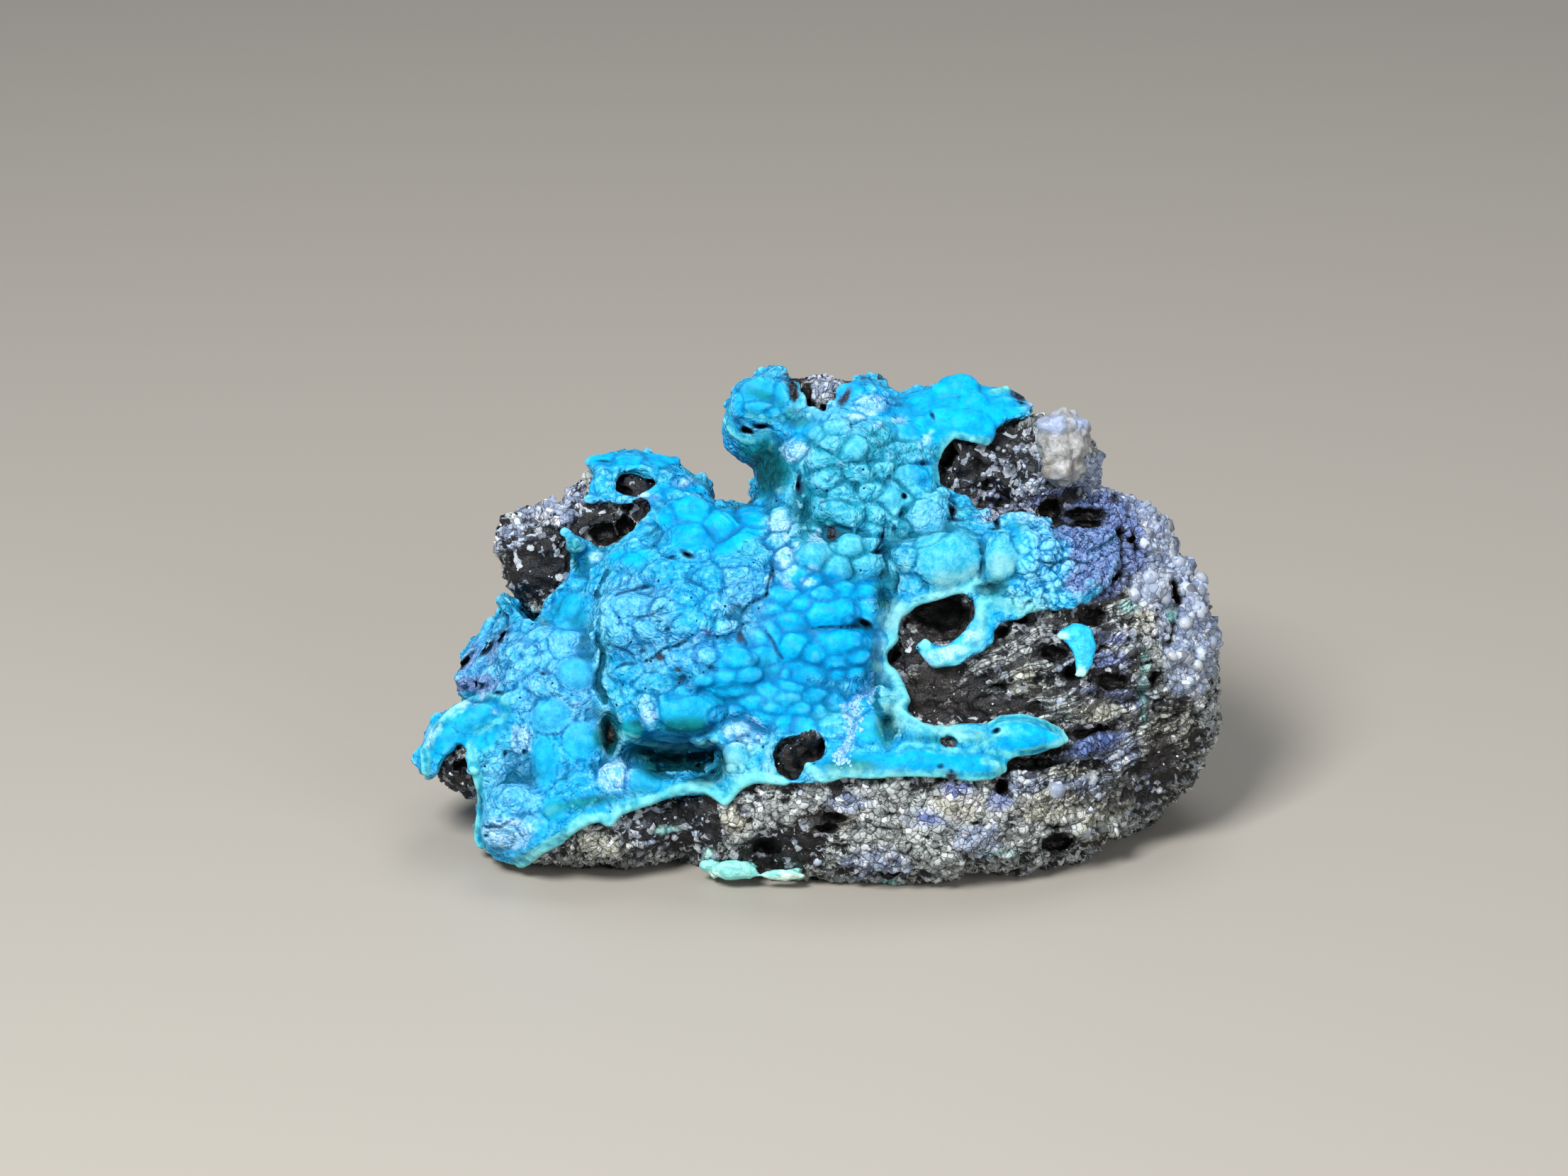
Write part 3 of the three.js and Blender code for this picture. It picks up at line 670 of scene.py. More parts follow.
        [(-12.7, 13.6, 0.035), (-12, 13.95, 0.056), (-11.3, 14, 0.035)],
        [(-0.7, 16.15, 0.042), (0.4, 16.2, 0.07), (1.3, 16.12, 0.063), (2.2, 16.2, 0.07), (2.9, 16, 0.07)],
        [(-3.4, 16, 0.035), (-3, 15.5, 0.056), (-2.8, 14.9, 0.063), (-2.4, 14.3, 0.042)],
        [(3.9, 22.9, 0.042), (3.85, 22.2, 0.063), (3.9, 21.4, 0.07), (3.5, 20.85, 0.084), (4.4, 20.8, 0.049)],
        [(-20.6, 4, 0.049), (-19.6, 4, 0.063), (-18.7, 4.45, 0.035)],
        [(4.6, 19.6, 0.049), (4.7, 19, 0.07), (4.4, 18.3, 0.056)],
        [(9.85, 20.8, 0.035), (9.85, 20.1, 0.056), (9.8, 19.3, 0.049)],
        [(-11, 18.8, 0.049), (-11.7, 18.4, 0.035), (-12.6, 18.2, 0.028)],
        [(-11.9, 17, 0.035), (-10.6, 16.9, 0.042), (-9.6, 17.4, 0.035)],
        [(13.3, 20.3, 0.042), (14.4, 20.15, 0.056), (15.4, 20.3, 0.063), (16.4, 20.1, 0.035)],
        [(16.6, 20.85, 0.042), (17.5, 21.2, 0.07), (18.2, 21.7, 0.056)],
        [(-3.15, 20.3, 0.035), (-3.05, 19.7, 0.07), (-3.3, 19, 0.042), (-3.4, 18.3, 0.063), (-4.3, 17.7, 0.049),
         (-4.9, 17.2, 0.042)],
        [(-4.9, 16.2, 0.035), (-5, 15.7, 0.049), (-4.6, 15.2, 0.035)],
    ],
    "creases": [
        [(-13.3, 19.6, 0.2), (-13.85, 18.0, 0.3), (-13.8, 16.0, 0.34), (-13.5, 14.6, 0.3), (-13.75, 13.0, 0.3),
         (-13.3, 11.6, 0.34)],
        [(3.5, 12.9, 0.14), (3.4, 11.6, 0.3), (3.9, 10.2, 0.4)],
        [(-6.1, 11.8, 0.14), (-5.8, 11.0, 0.16), (-6.0, 10.3, 0.14)],
        [(-6.2, 23.2, 0.14), (-5.4, 22.5, 0.12), (-5.2, 21.6, 0.1)],
    ],
    "packed": [(-0.6, 14.4, 4.6, 4.4), (1.0, 19.0, 3.2, 1.8), (2.4, 24.4, 4.2, 4.2), (-6.5, 22.6, 3.4, 2.6), (-1.0, 13.9, 5.0, 4.3)],  # lumps that touch
    "vein": [
        [(1.2, 8.1, 0.4), (1.5, 9.3, 0.45), (2.1, 10.5, 0.42), (2.1, 11.5, 0.38), (2.8, 12.3, 0.42), (3.3, 13.0, 0.3)],
        [(2.1, 10.5, 0.3), (1.3, 11.2, 0.2)],
    ],
    "bold": [(2.2, 24.5, 4.6, 5.0), (-4.5, 22.0, 3.0, 2.6)],  # where the lumps swell most
    "smooth": [
        (-8.3, 11.0, 1.9, 1.3), (-22.2, 9.9, 3.0, 1.7, 25), (-11.4, 10.0, 0.9, 0.9), (-5.2, 8.3, 0.7, 0.9), (-8.8, 9.1, 2.6, 0.3, -4),
        (7.7, 20.6, 2.0, 2.1), (11.0, 20.2, 0.9, 1.2),
        (0.7, 15.5, 3.0, 2.6), (-1.5, 16.5, 2.3, 1.9), (-3.5, 14.0, 3.0, 1.9), (-4.4, 12.2, 3.6, 1.3),
        (-1.4, 11.4, 2.9, 1.6), (-0.2, 19.8, 2.1, 1.6), (1.4, 18.6, 2.4, 0.9), (-2.4, 18.0, 1.4, 0.8),
        (2.9, 10.2, 1.0, 1.0), (-17.1, 7.9, 0.9, 1.6), (-16.4, 5.0, 0.8, 0.7), (-14.8, 9.2, 1.1, 1.2),
        (-21.3, 10.6, 1.4, 0.7, 28), (-16.8, 10.8, 1.15, 1.1), (-15.1, 13.3, 1.15, 1.15), (-10.8, 6.9, 1.2, 0.8),
        (-8.2, 23.5, 2.0, 1.6), (-6.3, 22.2, 1.5, 1.5), (-4.6, 22.7, 1.4, 1.1), (-8.1, 21.7, 1.2, 0.9),
        (-9.5, 26.9, 2.0, 0.7), (-13.0, 26.7, 2.4, 0.5), (8.4, 30.2, 3.4, 2.0), (10.3, 28.9, 1.2, 1.3),
        (5.9, 25.7, 1.0, 0.7), (2.1, 27.2, 0.9, 0.6), (6.3, 8.0, 4.6, 0.8), (12.3, 9.7, 2.6, 1.2), (1.7, 31.0, 1.2, 1.0),
        (7.9, 14.6, 1.6, 0.8, 30), (9.9, 16.6, 0.7, 1.4), (-3.8, 30.4, 1.6, 1.3), (4.5, 24.2, 0.8, 0.8),
        (12.2, 21.3, 0.9, 1.4), (1.9, 21.3, 1.0, 0.8), (-18.0, 3.0, 1.6, 0.4, 35), (4.8, 12.6, 0.5, 1.6),
        (4.1, 16.2, 0.7, 1.1), (-0.3, 28.4, 1.7, 0.7), (6.5, 28.8, 2.0, 1.2), (-9.8, 24.4, 1.2, 0.8),
        (-12.0, 20.5, 1.2, 0.5), (-15.8, 17.0, 1.2, 1.3), (3.6, 29.6, 2.4, 0.5),
    ],
    "deep": [
        (-15.1, 13.3, 1.2, 1.15), (-16.8, 10.8, 1.2, 1.1), (-17.2, 7.9, 0.9, 1.6, 10), (-16.4, 5.0, 0.8, 0.7), (-14.7, 9.3, 1.2, 1.1),
        (-8.3, 11.0, 1.9, 1.3), (-21.5, 10.3, 2.4, 0.9, 28), (-15.7, 16.6, 1.3, 1.6), (-10.8, 6.9, 1.2, 0.6),
        (-3.8, 30.5, 1.5, 1.2), (-2.0, 12.0, 3.2, 0.6), (-12.2, 12.0, 1.2, 1.2), (2.9, 10.2, 0.8, 0.8), (-3.5, 14.0, 1.2, 0.7),
    ],
    # painted deep shade in the caves
    "cave": [
        (-9.4, 7.7, 1.9, 0.95, 6), (-7.4, 7.6, 1.7, 1.1, -10), (-6.5, 8.0, 0.75, 0.9), (-10.8, 8.4, 1.2, 0.4, -15), (-13.15, 9.5, 0.75, 1.5, 8), (-3.3, 26.2, 1.0, 1.7, 10),
        (4.1, 10.3, 0.5, 0.9), (10.5, 18.65, 0.95, 0.45, 10), (3.9, 18.0, 0.4, 0.7, 20),
    ],
    "green": [
        (1.8, 24.3, 4.4, 5.0), (6.6, 22.6, 2.2, 1.6), (-0.8, 20.6, 1.2, 0.6),
        (7.7, 20.4, 2.3, 2.3), (11.1, 20.4, 1.2, 1.6), (6.6, 23.9, 1.6, 0.9),
        (1.0, 24.4, 1.9, 2.0), (3.3, 28.4, 1.5, 0.8), (5.0, 27.2, 1.6, 0.8), (1.9, 21.4, 1.0, 0.8), (0.1, 26.2, 1.3, 1.6),
        (12.2, 17.8, 1.6, 0.6), (-12.9, 12.0, 0.8, 0.6), (-13.6, 15.0, 0.4, 3.2), (-5.0, 8.2, 0.9, 1.1),
        (3.6, 25.1, 1.6, 0.9), (4.0, 11.8, 0.8, 0.9), (3.3, 22.0, 1.0, 0.7), (-20.6, 6.4, 0.8, 1.4),
        (4.3, 19.3, 0.8, 1.2), (-2.5, 23.0, 0.9, 1.2), (8.2, 10.0, 2.6, 0.5), (-1.3, 30.4, 0.7, 1.3),
        (1.0, 10.6, 1.2, 0.7),
    ],
    # dark teal: mostly painted shade in hollows, caves and under ledges, partly the crust's own teal
    "teal": [
        (-13.0, 9.7, 0.95, 1.7, 10), (-8.8, 8.0, 2.7, 0.9), (-3.2, 26.2, 1.4, 2.2), (-1.2, 23.6, 0.7, 2.2), (0.2, 22.6, 1.0, 0.4, -20),
        (4.0, 10.3, 0.8, 1.4), (3.9, 18.0, 0.7, 0.9, 20), (10.4, 18.6, 1.4, 0.55), (12.9, 22.5, 0.9, 0.35),
        (-11.4, 9.9, 0.8, 0.8), (-15.3, 20.6, 0.8, 1.3, 30), (7.8, 9.45, 2.2, 0.35), (-1.4, 29.3, 1.2, 0.6),
        (-4.0, 27.2, 1.4, 0.7), (-3.3, 30.5, 1.3, 0.25, -25), (-8.3, 10.1, 1.9, 0.5), (-14.0, 5.6, 2.6, 0.4, 12),
        (-17.2, 16.4, 0.4, 0.4), (1.6, 7.8, 1.8, 0.5),
    ],
    "white": [
        (-4.8, 9.9, 1.2, 0.8), (-12.7, 7.1, 0.95, 0.9), (3.2, 30.1, 1.1, 0.6), (-2.6, 22.4, 0.7, 1.0),
        (-2.2, 20.3, 0.65, 0.9), (-1.5, 27.2, 0.85, 0.75), (-19.3, 3.5, 1.6, 1.0), (-18.5, 9.3, 0.7, 0.9),
        (2.3, 29.3, 0.5, 0.25), (-10.7, 11.0, 0.5, 0.9), (-3.3, 19.1, 0.3, 0.5), (7.4, 14.45, 1.3, 0.45, 15),
        (9.35, 15.75, 0.5, 0.3, 45), (-8.7, 25.3, 0.5, 0.25), (-14.0, 20.5, 0.4, 0.3), (12.7, 23.05, 1.0, 0.22, -12),
        (10.5, 23.1, 0.8, 0.35, 25), (4.8, 29.2, 0.4, 0.22), (0.0, 21.9, 0.7, 0.4, 25), (-1.5, 21.2, 0.14, 0.2),
        (-0.8, 19.0, 0.4, 0.2), (-10.9, 24.3, 0.5, 0.2), (15.3, 19.8, 0.5, 0.4), (-2.1, 18.8, 0.3, 0.3),
        (-6.4, 17.6, 0.15, 0.13), (-5.3, 17.5, 0.14, 0.12), (-5.5, 16.4, 0.17, 0.13), (-7.5, 15.6, 0.15, 0.1),
        (1.1, 26.3, 0.16, 0.12), (4.2, 26.8, 0.18, 0.15), (-2.7, 24.1, 0.1, 0.1), (-0.6, 19.85, 0.18, 0.1),
        (3.4, 28.8, 0.4, 0.15), (13.4, 30.2, 0.4, 0.2), (-15.0, 11.4, 0.2, 0.12), (-20.2, 10.95, 0.15, 0.15),
        (-24.2, 9.4, 0.6, 0.35, 45), (-22.0, 11.5, 1.2, 0.22, 25), (6.5, 27.8, 0.5, 0.2, 50),
    ],
    "violet": [
        (17.2, 20.9, 2.0, 2.2), (15.6, 22.2, 1.4, 0.8), (15.9, 19.0, 0.9, 0.8), (-21.8, 12.4, 1.5, 0.7, 8), (-22.3, 14.2, 0.4, 0.9, -35), (-20.4, 15.0, 0.3, 0.9, -35), (-7.0, 15.9, 0.1, 0.1), (9.2, 14.1, 0.1, 0.1),
    ],
    # where the powder is palest
    "misty": [
        (-16.6, 13.2, 3.2, 3.4), (-19.2, 5.2, 2.0, 3.4), (-11.6, 17.4, 2.6, 2.0), (-9.5, 14.8, 3.0, 1.2), (-15.0, 10.6, 1.6, 1.2),
        (-20.6, 14.2, 2.4, 2.0, 35), (-4.6, 17.4, 1.6, 2.6), (-12.7, 7.1, 1.4, 1.2), (1.0, 29.6, 2.4, 1.6), (6.8, 22.9, 1.4, 1.2),
        (13.6, 20.8, 1.6, 2.6), (-2.4, 21.6, 1.0, 2.6),
    ],
    # where the folds fade to a greenish cream
    "mint": [
        (4.5, 16.8, 0.8, 1.0), (4.4, 11.6, 0.6, 1.6), (3.5, 14.2, 0.3, 1.2), (8.4, 18.35, 2.2, 0.35, 14), (7.4, 10.0, 2.0, 0.4, -12),
        (-5.4, 7.9, 0.6, 1.0), (-3.1, 8.2, 0.3, 1.2), (-7.4, 8.95, 2.4, 0.3), (1.6, 7.4, 2.6, 0.2), (-0.4, 7.3, 0.8, 0.3),
        (8.3, 19.3, 1.5, 0.5, 10), (11.2, 19.9, 0.8, 0.8), (12.4, 17.6, 1.4, 0.5), (-16.0, 3.2, 2.6, 0.2, 30), (9.8, 16.4, 0.3, 1.0), (5.2, 19.6, 0.5, 0.9),
    ],
    "plated": [(14.6, 20.6, 2.4, 3.3), (17.0, 20.9, 2.2, 2.6), (12.9, 18.2, 1.6, 0.9)],
    "brown": [
        (0.65, 22.0, 0.3, 0.4, -15), (-8.8, 13.6, 0.3, 0.35), (-5.0, 15.6, 0.15, 0.25), (7.9, 7.2, 0.2, 0.12),
        (-1.3, 25.0, 0.2, 0.7, 5), (-9.9, 14.4, 0.25, 0.15), (2.4, 32.2, 1.6, 0.35, -8), (-1.3, 32.0, 0.9, 0.4), (-1.7, 30.9, 0.25, 0.9, 10), (1.6, 30.7, 0.3, 0.7, -30),
        (12.7, 30.8, 0.6, 0.25, -15), (5.0, 22.4, 0.15, 0.1),
    ],
}


def reliefTree(name, build, numbers):
    # a tree that moves a skin along its normals by what build() gives, and keeps where it was
    tree = bpy.data.node_groups.new(name, "GeometryNodeTree")
    tree.interface.new_socket("Skin", in_out="INPUT", socket_type="NodeSocketGeometry")
    for label in numbers:
        tree.interface.new_socket(label, in_out="INPUT", socket_type="NodeSocketFloat")
    tree.interface.new_socket("Skin", in_out="OUTPUT", socket_type="NodeSocketGeometry")
    g = Graph(tree)
    given = g.add("NodeGroupInput", output="Skin")

    def field(label):
        return g.add("GeometryNodeInputNamedAttribute", {"data_type": "FLOAT"}, {"Name": label})

    place = g.add("GeometryNodeInputPosition")
    normal = g.add("GeometryNodeInputNormal")
    kept = g.add(
        "GeometryNodeStoreNamedAttribute",
        {"data_type": "FLOAT_VECTOR", "domain": "POINT"},
        {"Geometry": given, "Name": "place", "Value": place},
    )
    height = build(g, place, field, {label: given.other(label) for label in numbers})
    moved = g.add("GeometryNodeSetPosition", {}, {"Geometry": kept, "Offset": g.scaled(normal, height)})
    for label, steps in (("valley", 5), ("hollow", 40), ("bay", 220)):
        flat = g.add(
            "GeometryNodeBlurAttribute", {"data_type": "FLOAT_VECTOR"}, {"Value": place, "Iterations": steps}
        )
        sunken = g.vector("DOT_PRODUCT", g.vector("SUBTRACT", flat, place), normal).other("Value")
        moved = g.add(
            "GeometryNodeStoreNamedAttribute",
            {"data_type": "FLOAT", "domain": "POINT"},
            {"Geometry": moved, "Name": label, "Value": sunken},
        )
    g.add("NodeGroupOutput", {}, {"Skin": moved})
    return tree


def crackled(g, place):
    # the powdery crust's cells: distances to the edges of the coarse and the fine ones
    coarse = g.cells(g.warped(place, 0.9, 0.5), 1.15, "DISTANCE_TO_EDGE")
    fine = g.cells(g.warped(place, 0.4, 0.22), 0.5, "DISTANCE_TO_EDGE")
    return coarse, fine


def platesOf(g, place):
    bent = g.warped(place, 0.5, 0.4)
    coarse = g.cells(bent, 0.75, "DISTANCE_TO_EDGE")
    return g.math("MINIMUM", coarse, g.cells(bent, 0.4, "DISTANCE_TO_EDGE") + g.step(g.noise(place, 1.2), 0.55, 0.4) * 0.3)


def crustRelief(g, place, field, given):
    smooth = g.step(field("smooth") + (g.noise(place, 1.3) - 0.5) * 0.9, -0.25, 0.25)
    rim = g.step(field("rim"), -0.25, 0.1)
    rim = g.most(rim, g.step(field("band"), -0.2, 0.1))
    free = (1 - smooth * 0.85) * (1 - rim * 0.85) * (1 - g.step(field("inside"), 0.0, 0.25) * 0.6)
    coarse, fine = crackled(g, place)
    pillow = g.step(coarse, 0.0, 0.26) - 0.7
    grain = (g.noise(place, 0.4, 2.0) - 0.5) * given["Grain"] * (1 - rim * 0.7) * (1 - smooth * 0.6)
    swell = (g.noise(place, 2.2, 1.0) - 0.5) * given["Swell"] * (1 - rim * 0.5)
    plates = g.step(platesOf(g, place), 0.0, 0.12) * g.step(field("plated"), -0.3, 0.2)
    return pillow * free * given["Lumps"] + plates * given["Plates"] + grain + swell


def makeCrust():
    base = modified(remeshed(cadCopy("blue_crust"), 0.34), "SMOOTH", factor=0.5, iterations=7)
    skin = skinOf(base)
    smallest, largest, gap, seed = crust["smallLumps"]
    strewnOver = meshObject("strewn", pointsOf(base), np.array([p.vertices[:] for p in base.data.polygons]))
    points = pointsOf(strewnOver)
    kept = np.maximum(blobField(points, crust["smooth"]), creaseFields(points, crust["lumps"])[0])
    onFace = frontShare(points)
    rough = np.where(kept > 0, 1 - onFace, 1 - 0.93 * onFace)
    setField(strewnOver, "rough", rough * (normalsOf(strewnOver)[:, 2] > -0.5))
    runTree(
        strewnOver,
        strewn,
        {"Lump": roundBall, "Gap": gap, "Density": 3.0, "Smallest": smallest * 0.5, "Largest": largest * 0.5,
         "Sink": 0.0, "Where": "rough", "Seed": seed},
    )
    lumps = lumpMesh("lumps", crust["lumps"] + crust["swells"], skin, crust["rise"])
    ropes = ropeMesh("ropes", crust["ropes"], skin, 0.15)
    piece = remeshed(joined("blueCrust", base, strewnOver, lumps, ropes), crust["voxel"])
    runTree(piece, strays, {"Least": 3000.0})
    modified(piece, "SMOOTH", factor=0.5, iterations=1)
    print("crust joined:", len(piece.data.polygons), "faces")

    points = pointsOf(piece)
    drawn = wobbled(points, 0.9, 0.09, 5)
    inside, gap, size = creaseFields(drawn, crust["lumps"])
    onFace = frontShare(points)
    within = np.clip(gap / (0.32 * size), 0, 1)
    dome = np.sqrt(1 - (1 - within) ** 2) - 0.75
    rim = lineField(points, crust["ropes"][:10] + crust["ropes"][12:16])
    dome *= np.where(inside > 0, 1, 0) * onFace * np.clip(-rim / 0.25, 0, 1)
    swelling = crust["pillow"] * (1 + 1.7 * np.clip(blobField(points, crust["bold"]), 0, 1))
    points = points + normalsOf(piece) * (swelling * size * dome)[:, None]
    pits = onFront(points, blobField(drawn, crust["pits"]), 1.6)
    hollows = onFront(points, blobField(drawn, crust["hollows"]), 1.6)
    fissures = onFront(points, lineField(drawn, crust["fissures"]), 1.6)
    creases = onFront(points, lineField(drawn, crust["creases"]), 1.6)
    for name in ("smooth", "deep", "cave", "green", "teal", "white", "violet", "plated", "misty", "mint", "brown"):
        setField(piece, name, onFront(points, blobField(points, crust[name])))
    setField(piece, "band", onFront(points, blobField(points, crust["swells"])))
    setField(piece, "rim", onFront(points, rim))
    setField(piece, "vein", onFront(points, lineField(drawn, crust["vein"])))
    setField(piece, "dark", np.maximum(pits, fissures))
    setField(piece, "inside", np.where(onFace > 0.5, inside, 0))
    setField(piece, "crease", np.where(onFace > 0.5, gap, 0.6))
    points = sunk(points, pits, 0.8, 0.16)
    points = sunk(points, hollows, 0.9, 0.7)
    points = sunk(points, onFront(points, blobField(drawn, crust["caves"]), 1.6), 1.25, 0.5)
    points = sunk(points, fissures, 0.35, 0.12)
    points = sunk(points, creases, 0.5, 0.3)
    setPoints(piece, points)
    relief = reliefTree("crustRelief", crustRelief, ("Lumps", "Plates", "Grain", "Swell"))
    return runTree(piece, relief, {"Lumps": 0.1, "Plates": 0.16, "Grain": 0.09, "Swell": 0.3})


def thinned(piece, faces, hidden):
    # brings a piece under a number of triangles, taking most from where it is out of sight
    have = sum(len(p.vertices) - 2 for p in piece.data.polygons)
    if have > faces:
        group = piece.vertex_groups.new(name="hidden")
        for index in np.nonzero(hidden)[0]:
            group.add([int(index)], 1.0, "REPLACE")
        modified(piece, "DECIMATE", ratio=faces / have, vertex_group="hidden", vertex_group_factor=1.5)
        have = len(trianglesOf(piece))
        if have > faces:
            modified(piece, "DECIMATE", ratio=faces / have)
    return piece


def trianglesOf(piece):
    piece.data.calc_loop_triangles()
    corners = np.empty(len(piece.data.loop_triangles) * 3, np.int32)
    piece.data.loop_triangles.foreach_get("vertices", corners)
    return corners.reshape(-1, 3)


def finished(piece, material, node=None, smooth=True):
    # back to metres in the frame, with its material and its place on the stone's one body
    piece.data.transform(faceToFrame)
    low, high = np.array(cadBox[0]) - (0.0005, 0.0004, 0), np.array(cadBox[1]) + (0.0005, 0.0004, 0.0006)
    setPoints(piece, np.clip(pointsOf(piece), low, high))
    piece.data.materials.clear()
    piece.data.materials.append(material)
    if smooth:
        piece.data.polygons.foreach_set("use_smooth", np.ones(len(piece.data.polygons), bool))
    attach(piece, "root")
    if node:
        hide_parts(node)
    print(piece.name, len(piece.data.polygons), "faces")
    return piece


def newMaterial(name):
    material = bpy.data.materials.new(name)
    material.use_nodes = True
    material.node_tree.nodes.clear()
    return material, Graph(material.node_tree)


def fieldOf(g, name):
    return g.add("ShaderNodeAttribute", {"attribute_name": name}, output="Fac")


def placeOf(g):
    return g.add("ShaderNodeAttribute", {"attribute_name": "place"}, output="Vector")


def surface(g, base, roughness, height, strength, distance, specular=0.5):
    bump = g.add("ShaderNodeBump", {}, {"Height": height, "Strength": strength, "Distance": distance})
    shader = g.add(
        "ShaderNodeBsdfPrincipled",
        {},
        {"Base Color": base, "Roughness": roughness, "Normal": bump, "Specular IOR Level": specular},
    )
    g.add("ShaderNodeOutputMaterial", {}, {"Surface": shader})


def crustMaterial():
    material, g = newMaterial("blueMineral")
    place = placeOf(g)
    broad = g.noise(place, 1.6, 3.0, 0.6) - 0.5
    blot = g.noise(place, 0.5, 3.0, 0.6) - 0.5
    speck = g.noise(place, 0.14, 2.0, 0.6) - 0.5
    jitter = broad * 0.8 + blot * 0.5

    def zone(name, soft=0.14, spread=1.0):
        return g.step(fieldOf(g, name) + jitter * spread, -soft, soft)

    smooth = zone("smooth", 0.3, 1.3)
    rim = g.step(fieldOf(g, "rim") + jitter * 0.3, -0.12, 0.12)
    band = g.step(fieldOf(g, "band"), -0.2, 0.1)
    plain = g.most(smooth, rim, band)
    coarse, fine = crackled(g, place)
    valley, hollow, crease = fieldOf(g, "valley"), fieldOf(g, "hollow"), fieldOf(g, "crease")
    azure = g.mix(g.step(broad + blot, -0.3, 0.3), colour("008cc8"), colour("00b0e8"))
    azure = g.mix(g.step(blot + speck * 0.6, 0.1, 0.35) * 0.4, azure, colour("10c4f2"))
    powder = g.mix(g.step(blot + broad * 0.5, -0.2, 0.25), colour("0c92cc"), colour("2caee4"))
    powder = g.mix(g.step(g.noise(place, 3.2, 2.0) - 0.5, -0.08, 0.12) * 0.6, powder, g.mix(g.step(blot, -0.2, 0.2), colour("1f96ae"), colour("54b8cc")))
    powder = g.mix(g.step(speck + blot, 0.02, 0.3) * 0.6, powder, colour("7ac4ee"))
    violet = zone("violet", 0.4)
    azure = g.mix(zone("deep", 0.3) * 0.8, azure, g.mix(g.step(blot, -0.2, 0.2), colour("0a8cb8"), colour("1fa8d0")))
    base = g.mix(g.most(smooth, band), powder, azure)
    green = zone("green", 0.5, 1.6)
    base = g.mix(green * 0.8, base, g.mix(g.step(blot + speck * 0.5, -0.2, 0.25), colour("229cb6"), colour("64c0d4")))
    # dark teal, mostly painted shade in the hollows and under ledges, partly the crust's own teal
    base = g.mix(zone("teal", 0.3), base, g.mix(g.step(broad, -0.2, 0.2), colour("055060"), colour("0f8a94")))
    base = g.mix(violet * 0.85, base, g.mix(g.step(blot + speck, -0.2, 0.2), colour("3d5490"), colour("8098cc")))
    grainy = g.warped(place, 0.25, 0.16)
    sugary = g.cells(grainy, 0.3, "DISTANCE_TO_EDGE")
    grain = g.add("ShaderNodeSeparateXYZ", {}, {0: g.cells(grainy, 0.3).other("Color")})
    vein = g.step(fieldOf(g, "vein") + (grain - 0.5) * 0.6 + blot * 0.3, -0.03, 0.03)
    misty = g.step(blot + speck, -0.25, 0.2)
    base = g.mix(zone("misty", 0.6, 1.4) * (0.45 - smooth * 0.3), base, g.mix(misty, colour("42a2de"), colour("84c2ee")))
    base = g.mix(vein * 0.85, base, g.mix(g.step(sugary + speck * 0.1, 0.0, 0.1), colour("2b74b4"), colour("98c0ea")))
    # the rims' own teal, with blotches; its darkening in their creases and lightening on their ridges is painted shade
    # and highlight
    base = g.mix(rim * 0.8, base, g.mix(g.step(blot + valley * -4.0, -0.2, 0.3), colour("0c88a8"), colour("62c6c4")))
    # painted highlight: pale cyan on the ridges, where the surface bulges out, weaker on the smooth lumps
    base = g.mix(g.step(valley, -0.02, -0.07) * (0.5 - smooth * 0.3), base, colour("84d4ee"))
    base = g.mix(zone("mint", 0.4) * 0.65, base, g.mix(g.step(broad + blot * 0.5, -0.3, 0.3), colour("46a4b2"), colour("94c8c6")))
    base = g.mix(zone("white", 0.2, 1.0) * 0.8, base, g.mix(g.step(blot + speck, -0.2, 0.2), colour("62b2e4"), colour("b4d8f4")))
    # a pale edge on the rims' ridges: partly their own pale lip, partly painted highlight
    base = g.mix(g.step(valley + blot * 0.04, -0.01, -0.06) * rim * 0.65, base, colour("7cd0d2"))
    # painted shade: darker in the small valleys, the hollows and the broad bays between the forms
    base = g.mix(g.step(valley, 0.0, 0.05) * (0.7 - smooth * 0.3), base, g.mix(green, colour("0369a0"), colour("07708a")))
    base = g.mix(g.step(hollow, 0.0, 0.2) * (0.6 - smooth * 0.35), base, colour("05587c"))
    base = g.mix(g.step(hollow, 0.05, 0.25) * green * 0.7, base, colour("054a58"))
    base = g.mix(g.step(fieldOf(g, "bay"), 0.0, 0.55) * 0.7, base, colour("05485a"))
    # painted shade in the creases between lumps, soft and then fine
    base = g.mix(g.step(crease + blot * 0.1, 0.16, 0.0) * (0.35 - green * 0.1) * (1 - band), base, g.mix(green, colour("0076b4"), colour("0e86a8")))
    base = g.mix(g.step(crease + blot * 0.1, 0.1, 0.0) * (0.5 - green * 0.1) * (1 - band), base, g.mix(green, colour("045c94"), colour("066880")))
